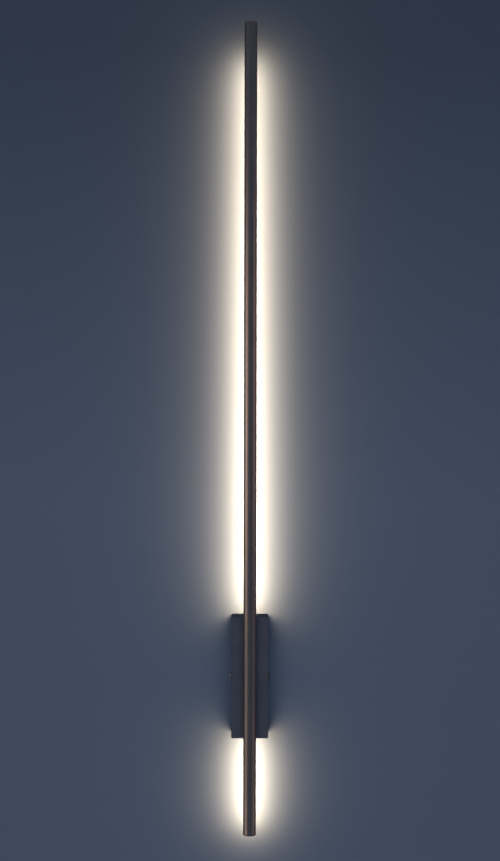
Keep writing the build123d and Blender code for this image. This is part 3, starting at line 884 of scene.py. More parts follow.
def makeTubeOutlines():
    # The outside with the open channel behind the web, and the closed cavity in front of it
    look = tubeLook
    front = roundBelow(tubeRadius, tubeFlat, look["roundSteps"])
    halfSlot = look["slotWidth"] / 2
    webRear = -look["webSetback"]
    ribTop = webRear + look["ribHeight"]
    ribInner, ribOuter = look["ribInner"], look["ribInner"] + look["ribWidth"]
    start = math.asin(slotRoof / boreRadius)
    end = math.asin(webRear / boreRadius)
    rightSide = arc((0.0, 0.0), boreRadius, start, end, look["sideSteps"])
    half = [(halfSlot, tubeFlat), (halfSlot, slotRoof)] + rightSide
    half += [(ribOuter, webRear), (ribOuter, ribTop), (ribInner, ribTop), (ribInner, webRear)]
    rear = half + [(-x, y) for x, y in reversed(half)]
    outer = softened(front + rear, look["cornerRadius"])
    cavity = roundBelow(boreRadius, webRear - look["webThickness"], look["roundSteps"] // 2)
    return [outer, softened(cavity, look["insideRadius"])]


def makeTube():
    piece = bar("tubeShell", makeTubeOutlines(), tubeLow.z, tubeHigh.z, "coated_aluminium",
                (0.0, tubeAxis))
    return rideAndReplace(piece, "lamp", "coated_aluminium", "tube_body")


capLook = {
    "edgeRadius": 0.55 * mm,
    "seamRadius": 0.12 * mm,
    "edgeSteps": 5,
    "seamShape": 0.3,
    "dish": 0.12 * mm,              # the outer face is very slightly hollow inside its rim
    "rim": 1.6 * mm,
    "dishStart": 1.2,               # where the hollow reaches its full depth, in rims
    "spigotSteps": 48,
    "spigotSideSteps": 10,
    "frontSpigot": 8.0 * mm,
    "rearSpigot": 4.0 * mm,
    "rearSpigotGap": 1.4 * mm,
    "clearance": 0.1 * mm,
    "leadIn": 0.5 * mm,
}


def makeEndCap(name, node, outward):
    # Heights run outwards from the tube's end
    look = capLook
    low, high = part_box(node)
    joint = tubeHigh.z if outward > 0 else tubeLow.z
    thickness = (high.z - joint) if outward > 0 else (joint - low.z)
    seam, edge, rim = look["seamRadius"], look["edgeRadius"], look["rim"]
    halfway = seam * look["seamShape"]
    steps = [(seam, 0.0), (halfway, halfway), (0.0, seam)]
    for k in range(look["edgeSteps"] + 1):
        angle = math.pi / 2 * k / look["edgeSteps"]
        steps.append((edge * (1 - math.cos(angle)), thickness - edge * (1 - math.sin(angle))))
    steps += [(rim, thickness), (rim * look["dishStart"], thickness - look["dish"])]
    mesh = bmesh.new()

    def capOutline(depth):
        section = roundBelow(tubeRadius - depth, tubeFlat - depth, tubeLook["roundSteps"])
        return softened(section, tubeLook["cornerRadius"])

    def addStack(outlineAt, stack):
        rings = []
        for depth, height in stack:
            rings.append([(x, tubeAxis + y, joint + outward * height) for x, y in outlineAt(depth)])
        loft(mesh, rings)

    def addSpigot(outline, length, leadIn):
        gap = look["clearance"]
        addStack(lambda depth: inset(outline, depth),
                 [(gap, 0.0), (gap, -length + leadIn), (gap + leadIn, -length)])

    addStack(capOutline, steps)
    soft, webRear = tubeLook["insideRadius"], -tubeLook["webSetback"]
    cavity = roundBelow(boreRadius, webRear - tubeLook["webThickness"], look["spigotSteps"])
    addSpigot(softened(cavity, soft), look["frontSpigot"], look["leadIn"])
    roofAngle = math.asin((slotRoof - look["rearSpigotGap"]) / boreRadius)
    webAngle = math.asin(webRear / boreRadius)
    ribTop = webRear + tubeLook["ribHeight"]
    ribInner, ribOuter = tubeLook["ribInner"], tubeLook["ribInner"] + tubeLook["ribWidth"]
    half = [(ribInner, webRear), (ribInner, ribTop), (ribOuter, ribTop), (ribOuter, webRear)]
    half += arc((0.0, 0.0), boreRadius, webAngle, roofAngle, look["spigotSideSteps"])
    channel = half + [(-x, y) for x, y in reversed(half)]
    addSpigot(softened(channel, soft), look["rearSpigot"], look["leadIn"] / 2)
    piece = settle(name, mesh, capCoat)
    return rideAndReplace(piece, "lamp", "coated_aluminium", node)


diffuserLook = {
    "recess": 0.2 * mm,
    "thickness": 1.0 * mm,
    "clearance": 0.05 * mm,
    "leg": 0.75 * mm,
    "legDepth": 1.2 * mm,
    "barb": 0.5 * mm,
    "barbHeight": 0.2 * mm,
    "cornerRadius": 0.12 * mm,
}


def makeDiffuserStrip(name, node):
    # A strip whose barbed legs snap in behind the slot's lips
    look = diffuserLook
    low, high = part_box(node)
    face = tubeFlat - look["recess"]
    underLip = slotRoof - look["clearance"]
    outside = tubeLook["slotWidth"] / 2 - look["clearance"]
    barb = outside + look["barb"]
    tip = slotRoof - look["legDepth"]
    half = [
        (outside, face), (outside, underLip), (barb, underLip), (barb, underLip - look["barbHeight"]),
        (outside, tip), (outside - look["leg"], tip), (outside - look["leg"], face - look["thickness"]),
    ]
    outline = softened(half + [(-x, y) for x, y in reversed(half)], look["cornerRadius"])
    piece = bar(name, [outline], low.z, high.z, "opal_diffuser", (0.0, tubeAxis))
    return rideAndReplace(piece, "lamp", "opal_diffuser", node)


makeTube()
makeEndCap("topCap", "top_end_cap", 1)
makeEndCap("bottomCap", "bottom_end_cap", -1)
makeDiffuserStrip("upperDiffuser", "upper_diffuser")
makeDiffuserStrip("lowerDiffuser", "lower_diffuser")
print("tube, caps and diffusers made")


ledLook = {
    "bevel": 0.12 * mm,
    "windowInset": (0.45 * mm, 0.5 * mm),
    "windowRise": 0.02 * mm,
    "padWidth": 0.7 * mm,
    "padHeight": 0.12 * mm,
    "resistorEvery": 3,
    "resistorSize": (1.25 * mm, 0.5 * mm, 2.0 * mm),
    "resistorBevel": 0.1 * mm,
    "padShare": 0.8,                # of the package's length
}


def smallBlock(size, centre=(0.0, 0.0, 0.0), bevel=0.0, steps=2):
    # A block with softened edges, as one closed mesh
    mesh = bmesh.new()
    bmesh.ops.create_cube(mesh, size=1.0)
    bmesh.ops.scale(mesh, vec=size, verts=mesh.verts)
    if bevel:
        bmesh.ops.bevel(mesh, geom=mesh.edges[:], offset=bevel, segments=steps, affect="EDGES", profile=0.6)
    bmesh.ops.translate(mesh, vec=centre, verts=mesh.verts)
    bmesh.ops.recalc_face_normals(mesh, faces=mesh.faces)
    data = bpy.data.meshes.new("block")
    mesh.to_mesh(data)
    mesh.free()
    return data


phosphorLook = {
    "dark": (0.80, 0.52, 0.07),
    "light": (0.90, 0.68, 0.14),
    "roughness": 0.32,
    "grainSize": 0.12 * mm,
    "patchSize": 2 * mm,
    "bump": 0.15,
    "bumpDepth": 0.02 * mm,
}


def makePhosphor():
    # The yellow gel in the window of each light-emitting chip
    look = phosphorLook
    material, tree, shader = newMaterial("ledPhosphor", Roughness=look["roughness"])
    grain = useGroup(tree, grainGroup, look)
    colour = mixColour(tree, grain["grain"], look["dark"], look["light"])
    connect(tree, shader, look, colour, None, grain["grain"])
    return material


def makeLedRow(prefix, chipNode, direction):
    # Packages, windows, solder pads and resistors along one board, counted away from the canopy
    look = ledLook
    boxes = sorted(solidBoxes(chipNode), key=lambda box: direction * middle(box).z)
    centres = [middle(box) for box in boxes]
    size = boxes[0][1] - boxes[0][0]
    step = (centres[-1] - centres[0]) / (len(centres) - 1)
    first = centres[0]

    def row(name, block, offset, slot, count=len(centres), stride=1, material=None):
        values = {"Count": count, "First": tuple(first + Vector(offset)), "Step": tuple(step * stride),
                  "Material": material or materials[slot]}
        piece = grow(prefix + name, block, rowTree, values)
        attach(piece, "lamp")
        return piece

    body = row("LedBodies", smallBlock(size, bevel=look["bevel"]), (0, 0, 0), "led_package")
    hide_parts(chipNode)
    insetX, insetZ = look["windowInset"]
    rise = look["windowRise"]
    window = smallBlock((size.x - 2 * insetX, rise * 2, size.z - 2 * insetZ), bevel=rise / 2)
    row("LedWindows", window, (0, size.y / 2 - rise, 0), "led_package", material=phosphor)
    pad = (look["padWidth"], look["padHeight"], size.z * look["padShare"])
    for side in (-1, 1):
        offset = (side * (size.x / 2 + look["padWidth"] / 2), -size.y / 2 + look["padHeight"] / 2, 0)
        label = "Left" if side < 0 else "Right"
        row("SolderPads" + label, smallBlock(pad, bevel=look["padHeight"] / 3), offset, "tinned_copper")
    resistor = look["resistorSize"]
    groups = len(centres) // look["resistorEvery"]
    offset = (0, -size.y / 2 + resistor[1] / 2, step.z / 2)
    row("Resistors", smallBlock(resistor, bevel=look["resistorBevel"]), offset, "capacitor_sleeve",
        count=groups, stride=look["resistorEvery"])


phosphor = makePhosphor()
makeLedRow("upper", "upper_led_chips", 1)
makeLedRow("lower", "lower_led_chips", -1)
print("light strips made")


canopyLook = {
    "wall": 1.2 * mm,
    "cornerRadius": 2.0 * mm,
    "edgeRadius": 1.1 * mm,
    "insideRadius": 0.5 * mm,
    "rimRadius": 0.25 * mm,
    "leastRadius": 0.1 * mm,
    "edgeSteps": 6,
    "screwHole": 4.4 * mm,
    "sideSlot": 4.4 * mm,
    "grommetHole": 8.0 * mm,
}


def cutAway(piece, cutters):
    for cutter in cutters:
        modifier = piece.modifiers.new("cut", "BOOLEAN")
        modifier.operation = "DIFFERENCE"
        modifier.solver = "EXACT"
        modifier.object = cutter
    settleModifiers(piece)
    for cutter in cutters:
        bpy.data.objects.remove(cutter)
    shade(piece, softAngle)
    return piece


def cylinderCutter(diameter, start, end, segments=64):
    # From one point to another
    mesh = bmesh.new()
    direction = Vector(end) - Vector(start)
    spin = direction.to_track_quat("Z", "Y").to_matrix().to_4x4()
    move = Matrix.Translation((Vector(start) + Vector(end)) / 2)
    bmesh.ops.create_cone(
        mesh, cap_ends=True, segments=segments, radius1=diameter / 2, radius2=diameter / 2,
        depth=direction.length, matrix=move @ spin,
    )
    return settle("cutter", mesh, None)


def boxCutter(low, high):
    low, high = Vector(low), Vector(high)
    return place("cutter", smallBlock(high - low, (low + high) / 2), None)


def makeCanopy():
    # A box open to the wall, with holes in front for the tube's screws and the grommet, and a slot
    # in each side, open to the wall, for the side screw
    look = canopyLook
    halfWidth = (canopyHigh.x - canopyLow.x) / 2
    halfHeight = (canopyHigh.z - canopyLow.z) / 2
    front = canopyLow.y
    wall, edge, inside, rim = (look[k] for k in ("wall", "edgeRadius", "insideRadius", "rimRadius"))
    angles = [math.pi / 2 * k / look["edgeSteps"] for k in range(look["edgeSteps"] + 1)]
    # A quarter turn from a soft start, and one from a steep start
    soft = [(1 - math.cos(angle), 1 - math.sin(angle)) for angle in angles]
    steep = [(1 - math.sin(angle), 1 - math.cos(angle)) for angle in angles]
    # How far in from the outside, and where in depth, from the inner front round to the outer front
    stack = [(wall + inside * across, front + wall + inside * deep) for across, deep in steep]
    stack += [(wall - rim * across, -rim * deep) for across, deep in soft]
    stack += [(rim * across, -rim * deep) for across, deep in steep]
    stack += [(edge * across, front + edge * deep) for across, deep in soft]
    rings = []
    for depth, y in stack:
        radius = max(look["cornerRadius"] - depth, look["leastRadius"])
        outline = roundedRectangle(halfWidth - depth, halfHeight - depth, radius)
        rings.append([(x, y, z) for x, z in outline])
    mesh = bmesh.new()
    loft(mesh, rings)
    piece = settle("canopyShell", mesh, materials["coated_steel"])
    beyond = 2 * wall
    cutters = []
    for box in solidBoxes("tube_fixing_washers"):
        z = middle(box).z
        cutters.append(cylinderCutter(look["screwHole"], (0, front - beyond, z), (0, front + beyond, z)))
    grommetZ = middle(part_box("cable_grommet")).z
    cutters.append(
        cylinderCutter(look["grommetHole"], (0, front - beyond, grommetZ), (0, front + beyond, grommetZ))
    )
    axis = middle(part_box("side_screw_right")).y
    half = look["sideSlot"] / 2
    for side in (-1, 1):
        outer, inner = side * (halfWidth + beyond), side * (halfWidth - beyond)
        cutters.append(cylinderCutter(look["sideSlot"], (outer, axis, 0), (inner, axis, 0)))
        xLow, xHigh = sorted((outer, inner))
        cutters.append(boxCutter((xLow, axis, -half), (xHigh, beyond, half)))
    cutAway(piece, cutters)
    return rideAndReplace(piece, "lamp", "coated_steel", "canopy")


makeCanopy()
print("canopy made")


screwLook = {
    "radius": 2.0 * mm,
    "pitch": 0.7 * mm,
    "threadDepth": 0.38 * mm,
    "headRadius": 4.0 * mm,
    "headHeight": 2.4 * mm,
    "headRound": 1.1 * mm,
    "headSteps": 6,
    "socketHalfWidth": 1.25 * mm,
    "socketDepth": 1.3 * mm,
    "socketChamfer": 0.15 * mm,
    "tipChamfer": 0.5 * mm,
    "plainNeck": 0.02 * mm,
    "seatChamfer": 0.15 * mm,
}


def threadRows(radius, low, high, pitch, rowsPerTurn=6):
    count = max(1, round((high - low) / pitch * rowsPerTurn))
    return [(radius, low + (high - low) * i / count, 0, 1) for i in range(count + 1)]


def panScrewProfile(length):
    look = screwLook
    radius, tip = look["radius"], look["tipChamfer"]
    head, height, rounding = look["headRadius"], look["headHeight"], look["headRound"]
    socket, bite, seat = look["socketHalfWidth"], look["socketChamfer"], look["seatChamfer"]
    rows = [(0.0, -length, 0, 0), (radius - tip, -length, 0, 0)]
    rows += threadRows(radius, -length + tip, -look["pitch"] / 2, look["pitch"])
    rows += [(radius, -look["plainNeck"], 0, 0), (radius, 0.0, 0, 0), (head - seat, 0.0, 0, 0),
             (head, seat, 0, 0)]
    for k in range(look["headSteps"] + 1):
        angle = math.pi / 2 * k / look["headSteps"]
        inwards, down = rounding * (1 - math.cos(angle)), rounding * (1 - math.sin(angle))
        rows.append((head - inwards, height - down, 0, 0))
    floor = height - look["socketDepth"]
    rows += [(socket + bite, height, 1, 0), (socket, height - bite, 1, 0), (socket, floor, 1, 0),
             (0.0, floor, 0, 0)]
    return rows


def rodProfile(size, length, plainStart=0.05 * mm):
    # The sizes are those of studLook
    radius, chamfer = size["radius"], size["chamfer"]
    rows = [(0.0, 0.0, 0, 0), (radius, 0.0, 0, 0)]
    rows += threadRows(radius, plainStart, length - chamfer, size["pitch"])
    return rows + [(radius - chamfer, length, 0, 0), (0.0, length, 0, 0)]


def hexNutProfile(halfWidth, height, bore, chamfer=0.25 * mm, soft=0.2 * mm):
    return [
        (bore, soft, 0, 0), (bore + soft, 0.0, 0, 0), (halfWidth - chamfer, 0.0, 0, 0),
        (halfWidth, chamfer / 2, 1, 0), (halfWidth, height - chamfer / 2, 1, 0),
        (halfWidth - chamfer, height, 0, 0), (bore + soft, height, 0, 0),
        (bore, height - soft, 0, 0), (bore, soft, 0, 0),
    ]


def washerProfile(outer, inner, height, soft=0.1 * mm):
    return [
        (inner, soft, 0, 0), (inner + soft, 0.0, 0, 0), (outer - soft, 0.0, 0, 0), (outer, soft, 0, 0),
        (outer, height - soft, 0, 0), (outer - soft, height, 0, 0), (inner + soft, height, 0, 0),
        (inner, height - soft, 0, 0), (inner, soft, 0, 0),
    ]


def makeSideScrews():
    look = screwLook
    for label, side, turn in (("left", -1, toLeft), ("right", 1, toRight)):
        node = "side_screw_" + label
        low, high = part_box(node)
        length = high.x - low.x - look["headHeight"]
        seat = side * canopyHigh.x
        piece = turned(
            label + "SideScrew", panScrewProfile(length), [(seat, middle((low, high)).y, 0.0)], turn,
            "black_screw", look["pitch"], look["threadDepth"],
        )
        rideAndReplace(piece, node, "black_screw", node)


def makeTubeScrews():
    look = screwLook
    boxes = solidBoxes("tube_fixing_screws")
    length = boxes[0][1].y - boxes[0][0].y - look["headHeight"]
    places = [(0.0, box[1].y - look["headHeight"], middle(box).z) for box in boxes]
    piece = turned("tubeScrews", panScrewProfile(length), places, toWall, "zinc_steel", look["pitch"],
                   look["threadDepth"])
    rideAndReplace(piece, "lamp", "zinc_steel", "tube_fixing_screws")
    boxes = solidBoxes("tube_fixing_washers")
    low, high = boxes[0]
    profile = washerProfile((high.x - low.x) / 2, canopyLook["screwHole"] / 2, high.y - low.y)
    places = [(0.0, box[0].y, middle(box).z) for box in boxes]
    piece = turned("tubeScrewWashers", profile, places, toWall, "zinc_steel")
    rideAndReplace(piece, "lamp", "zinc_steel", "tube_fixing_washers")


studLook = {
    "m3": {"radius": 1.5 * mm, "pitch": 0.5 * mm, "threadDepth": 0.26 * mm, "chamfer": 0.35 * mm,
           "segments": 32},
    "m4": {"radius": 2.0 * mm, "pitch": 0.7 * mm, "threadDepth": 0.38 * mm, "chamfer": 0.35 * mm,
           "segments": 32},
    "terminal": {"radius": 1.5 * mm, "pitch": 0.5 * mm, "threadDepth": 0.2 * mm, "chamfer": 0.2 * mm,
                 "segments": 24},
}


def nearEnds(node):
    # The end of each solid that is nearer to the room, and the solids' length towards the wall
    boxes = solidBoxes(node)
    places = [(middle(box).x, box[0].y, middle(box).z) for box in boxes]
    return places, boxes[0][1].y - boxes[0][0].y


def makeRods(node, name, size, slot):
    look = studLook[size]
    places, length = nearEnds(node)
    return turned(name, rodProfile(look, length), places, toWall, slot, look["pitch"],
                  look["threadDepth"], look["segments"])


def makeStuds():
    for node, name, size, slot in (
        ("canopy_studs", "weldStuds", "m3", "zinc_steel"), ("earth_stud", "earthStud", "m4", "brass")
    ):
        rideAndReplace(makeRods(node, name, size, slot), "lamp", slot, node)


def makeStudNuts():
    for node, name, size, slot in (
        ("stud_nuts", "studNuts", "m3", "zinc_steel"), ("earth_nut", "earthNut", "m4", "brass")
    ):
        low, high = solidBoxes(node)[0]
        halfWidth = min(high.x - low.x, high.z - low.z) / 2
        places, height = nearEnds(node)
        profile = hexNutProfile(halfWidth, height, studLook[size]["radius"])
        piece = turned(name, profile, places, toWall, slot)
        rideAndReplace(piece, "lamp", slot, node)


terminalLook = {"slotDepth": 0.7 * mm, "slotWidth": 0.6 * mm}


def makeTerminalScrews():
    places, length = nearEnds("terminal_screws")
    piece = makeRods("terminal_screws", "terminalScrews", "terminal", "zinc_steel")
    reach = 2 * studLook["terminal"]["radius"]
    depth, half = terminalLook["slotDepth"], terminalLook["slotWidth"] / 2
    cutters = [
        boxCutter((x - reach, y + length - depth, z - half), (x + reach, y + length + depth, z + half))
        for x, y, z in places
    ]
    cutAway(piece, cutters)
    rideAndReplace(piece, "lamp", "zinc_steel", "terminal_screws")


grommetLook = {
    "neck": 3.9 * mm,
    "bore": 2.6 * mm,
    "soft": 0.3 * mm,
    "flangeSoft": 0.2 * mm,
    "flangeRound": 0.6 * mm,
    "mouth": 0.4 * mm,
}


def makeGrommet():
    # A neck through the canopy's front, and a flange behind it
    look = grommetLook
    low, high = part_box("cable_grommet")
    flange, neck, bore, soft = (high.x - low.x) / 2, look["neck"], look["bore"], look["soft"]
    lip, rounding, mouth = look["flangeSoft"], look["flangeRound"], look["mouth"]
    flangeStart = canopyLow.y + canopyLook["wall"] - low.y
    length = high.y - low.y
    rows = [
        (bore, soft), (bore + soft, 0.0), (neck - soft, 0.0), (neck, soft), (neck, flangeStart),
        (flange - lip, flangeStart), (flange, flangeStart + lip), (flange, length - rounding),
        (flange - lip, length - lip), (flange - rounding, length), (bore + mouth, length),
        (bore, length - mouth), (bore, soft),
    ]
    profile = [(radius, height, 0, 0) for radius, height in rows]
    centre = middle((low, high))
    piece = turned("cableGrommet", profile, [(0.0, low.y, centre.z)], toWall, "black_rubber")
    rideAndReplace(piece, "lamp", "black_rubber", "cable_grommet")


makeSideScrews()
makeTubeScrews()
makeStuds()
makeStudNuts()
makeTerminalScrews()
makeGrommet()
print("screws, studs and nuts made")


softEdges = {
    "tube_nuts": 0.15 * mm,
    "driver_case": 0.25 * mm,
    "driver_board": 0.05 * mm,
    "driver_transformer": 0.25 * mm,
    "driver_capacitors": 0.6 * mm,
    "terminal_block": 0.2 * mm,
    "terminal_inserts": 0.12 * mm,
    "earth_terminal": 0.08 * mm,
    "upper_led_board": 0.05 * mm,
    "lower_led_board": 0.05 * mm,
    "wall_bracket": 0.15 * mm,
    "ear_nuts": 0.2 * mm,
}


bevelLook = {"segments": 2, "bevelAngle": 40.0, "sharpAngle": 50.0, "flatAngle": 1.0}


def slotOf(node):
    return next(s["material_slot"] for s in frame["record"]["subparts"] if s["node"] == node)


def softMesh(node, width):
    # A merged copy of the frame's piece, its flat faces whole again and its edges rounded
    look = bevelLook
    mesh = bmesh.new()
    mesh.from_mesh(nodes[node].data)
    bmesh.ops.remove_doubles(mesh, verts=mesh.verts, dist=weldDistance)
    flat = math.radians(look["flatAngle"])
    bmesh.ops.dissolve_limit(mesh, angle_limit=flat, verts=mesh.verts, edges=mesh.edges)
    name = camelName(node)
    data = bpy.data.meshes.new(name)
    mesh.to_mesh(data)
    mesh.free()
    piece = place(name, data, materials[slotOf(node)])
    bevel = piece.modifiers.new("softEdges", "BEVEL")
    bevel.width = width
    bevel.segments = look["segments"]
    bevel.limit_method = "ANGLE"
    bevel.angle_limit = math.radians(look["bevelAngle"])
    bevel.use_clamp_overlap = True
    settleModifiers(piece)
    shade(piece, look["sharpAngle"])
    return piece


def softCopy(node, width):
    return rideAndReplace(softMesh(node, width), nodes[node]["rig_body"], slotOf(node), node)


lidLook = {
    "softEdge": 0.15 * mm,
    "panelMargin": 3.2 * mm,
    "panelRadius": 1.6 * mm,
    "panelDepth": 0.3 * mm,
    "notchLength": 6.0 * mm,
    "notchDepth": 0.7 * mm,
    "notchPlace": 0.3,              # share of the lid's length, from its middle
    "beyond": 1.0 * mm,
}


def makeDriverLid():
    # A sunk bare panel, and two notches along each side to prise the lid off
    look = lidLook
    low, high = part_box("driver_lid")
    halfWidth, halfLength = (high.x - low.x) / 2, (high.z - low.z) / 2
    centre = middle((low, high)).z
    margin = look["panelMargin"]
    outline = roundedRectangle(halfWidth - margin, halfLength - margin, look["panelRadius"])
    mesh = bmesh.new()
    depths = (high.y - look["panelDepth"], high.y + look["beyond"])
    loft(mesh, [[(x, y, centre + z) for x, z in outline] for y in depths])
    cutters = [settle("cutter", mesh, None)]
    half = look["notchLength"] / 2
    for side in (-1, 1):
        for end in (-1, 1):
            x = sorted((side * (halfWidth - look["notchDepth"]), side * (halfWidth + look["beyond"])))
            z = centre + end * look["notchPlace"] * 2 * halfLength
            cutters.append(boxCutter((x[0], high.y - look["beyond"], z - half),
                                     (x[1], high.y + look["beyond"], z + half)))
    piece = cutAway(softMesh("driver_lid", look["softEdge"]), cutters)
    rideAndReplace(piece, "lamp", slotOf("driver_lid"), "driver_lid")


makeDriverLid()
for node, width in softEdges.items():
    softCopy(node, width)
print("softened pieces made:", len(softEdges))


leadLook = {
    "mains": 2.0 * mm,
    "strip": 1.6 * mm,
    "stripStart": -36.0 * mm,       # solder joint inside the driver
    "bendStart": -52.0 * mm,        # where the strip leads start to turn towards the grommet and back
    "earthRoute": (
        (21.0 * mm, -29.1 * mm, 24.54 * mm), (21.0 * mm, -29.1 * mm, 31.54 * mm),
        (8.0 * mm, -24.3 * mm, 44.0 * mm), (8.0 * mm, -24.3 * mm, 55.0 * mm),
    ),
    "sides": 20,
    "resolution": 10,
    "sharpAngle": 60.0,
}


def makeLead(name, node, points, diameter, slot):
    curve = bpy.data.curves.new(name, "CURVE")
    curve.dimensions = "3D"
    spline = curve.splines.new("NURBS")
    spline.points.add(len(points) - 1)
    for target, point in zip(spline.points, points):
        target.co = (*point, 1.0)
    spline.order_u = 3
    spline.use_endpoint_u = True
    spline.resolution_u = leadLook["resolution"]
    values = {"Diameter": diameter, "Sides": leadLook["sides"], "Material": materials[slot]}
    piece = grow(name, curve, leadTree, values, leadLook["sharpAngle"])
    return rideAndReplace(piece, "lamp", slot, node)


def makeLeads():
    look = leadLook
    for node, slot, kind in (
        ("live_lead", "brown_wire", "mains"), ("neutral_lead", "blue_wire", "mains"),
        ("link_negative_lead", "black_wire", "strip"), ("link_positive_lead", "red_wire", "strip"),
    ):
        low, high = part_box(node)
        centre = middle((low, high))
        points = [(centre.x, centre.y, z) for z in (low.z, centre.z, high.z)]
        makeLead(camelName(node), node, points, look[kind], slot)
    for node, slot in (("negative_lead", "black_wire"), ("positive_lead", "red_wire")):
        low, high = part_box(node)
        radius = look["strip"] / 2
        x = middle((low, high)).x
        bottom = low.z + radius
        driverSide, tubeSide, bend = high.y - radius, low.y + radius, look["bendStart"]
        points = [
            (x, driverSide, look["stripStart"]), (x, driverSide, bend), (x, driverSide, bottom),
            (x, tubeSide, bottom), (x, tubeSide, bend), (x, tubeSide, high.z),
        ]
        makeLead(camelName(node), node, points, look["strip"], slot)
    makeLead("earthLead", "earth_lead", look["earthRoute"], look["mains"], "green_yellow_wire")


makeLeads()
print("leads made")


worldLook = {"colour": (0.86, 0.90, 0.97), "strength": 0.45, "seenColour": (0.80, 0.81, 0.83)}
stageLook = {
    "wallColour": (0.050, 0.068, 0.108),
    # wallShade is painted shade: the heights between which the wall's colour is darkened
    "wallShade": (0.25, 0.95),      # heights between which the wall's paint darkens
    "wallShadeRange": (0.86, 0.50),
    "touching": 8 * mm,
    "floorColour": (0.72, 0.72, 0.71),
    "floorFade": (0.5, 2.6),        # the floor turns into the background between these distances
    "wallWidth": 9.0,
    "wallTop": 4.0,
    "wallOffset": 0.4 * mm,
    "floorHeight": -1.0,
    "floorReach": 30.0,
    "wallGrain": 2.2 * mm,
    "floorGrain": 4.0 * mm,
    "patchSize": 0.6,
    "patchShade": 0.97,
    "roughness": 0.9,
    "bump": 0.12,
    "bumpDepth": 0.3 * mm,
}


def makeStageMaterial(name, colour, grainSize):
    look = {**stageLook, "grainSize": grainSize}
    settings = {"Roughness": look["roughness"], "Specular IOR Level": 0.0}
    material, tree, shader = newMaterial(name, **settings)
    grain = useGroup(tree, grainGroup, look)
    deeper = tuple(look["patchShade"] * value for value in colour)
    mixed = mixColour(tree, grain["patches"], deeper, colour)
    connect(tree, shader, look, mixed, None, grain["grain"])
    return material, tree, shader


def addStage(name, corners, material):
    mesh = bpy.data.meshes.new(name)
    mesh.from_pydata(corners, [], [(0, 1, 2, 3)])
    mesh.materials.append(material)
    made = bpy.data.objects.new(name, mesh)
    scene.collection.objects.link(made)
    return made


def mixShaders(tree, factor, first, second):
    inputs = {0: factor, 1: first.outputs[0], 2: second.outputs[0]}
    return addNode(tree, "ShaderNodeMixShader", inputs)


def makeClear(tree, shader, where):
    # See-through where the value is one
    mixed = mixShaders(tree, where, shader, addNode(tree, "ShaderNodeBsdfTransparent"))
    tree.links.new(mixed.outputs[0], tree.nodes["Material Output"].inputs["Surface"])


def paintShadeOnWallTop(tree, shader):
    # Painted shade: the wall's colour darkens towards the top, standing in for the room's light falling off
    # there
    colour = shader.inputs["Base Color"].links[0].from_socket
    height = separated(tree, objectPosition(tree))["Z"]
    factor = spread(tree, height, *stageLook["wallShade"], *stageLook["wallShadeRange"])
    darker = addNode(tree, "ShaderNodeVectorMath", {0: colour, "Scale": factor}, operation="SCALE")
    tree.links.new(darker.outputs["Vector"], shader.inputs["Base Color"])


def makeWall():
    # Clear from behind, to lamps and soft light, and to what lies flat on it
    look = stageLook
    half, y = look["wallWidth"] / 2, look["wallOffset"]
    bottom, top = look["floorHeight"], look["wallTop"]
    corners = [(-half, y, bottom), (half, y, bottom), (half, y, top), (-half, y, top)]
    material, tree, shader = makeStageMaterial("paintedWall", look["wallColour"], look["wallGrain"])
    paintShadeOnWallTop(tree, shader)
    rays = addNode(tree, "ShaderNodeLightPath").outputs
    behind = addNode(tree, "ShaderNodeNewGeometry").outputs["Backfacing"]
    touching = calculate(tree, "LESS_THAN", rays["Ray Length"], look["touching"])
    seenThrough = calculate(tree, "MAXIMUM", behind, touching)
    for kind in ("Is Shadow Ray", "Is Diffuse Ray"):
        seenThrough = calculate(tree, "MAXIMUM", seenThrough, rays[kind])
    makeClear(tree, shader, seenThrough)
    return addStage("wall", corners, material)


def makeFloor():
    # Turns into the background far away, and is clear from below
    look = stageLook
    reach, z = look["floorReach"], look["floorHeight"]
    corners = [(-reach, -reach, z), (reach, -reach, z), (reach, reach, z), (-reach, reach, z)]
    material, tree, shader = makeStageMaterial("paleFloor", look["floorColour"], look["floorGrain"])
    flatten = {0: objectPosition(tree), 1: (1.0, 1.0, 0.0)}
    level = addNode(tree, "ShaderNodeVectorMath", flatten, operation="MULTIPLY")
    distance = addNode(tree, "ShaderNodeVectorMath", {0: level.outputs[0]}, operation="LENGTH")
    cameraRay = addNode(tree, "ShaderNodeLightPath").outputs["Is Camera Ray"]
    faded = spread(tree, distance.outputs["Value"], *look["floorFade"])
    far = calculate(tree, "MULTIPLY", faded, cameraRay)
    haze = addNode(tree, "ShaderNodeEmission", {"Color": (*worldLook["seenColour"], 1.0), "Strength": 1.0})
    mixed = mixShaders(tree, far, shader, haze)
    makeClear(tree, mixed, addNode(tree, "ShaderNodeNewGeometry").outputs["Backfacing"])
    addStage("floor", corners, material)


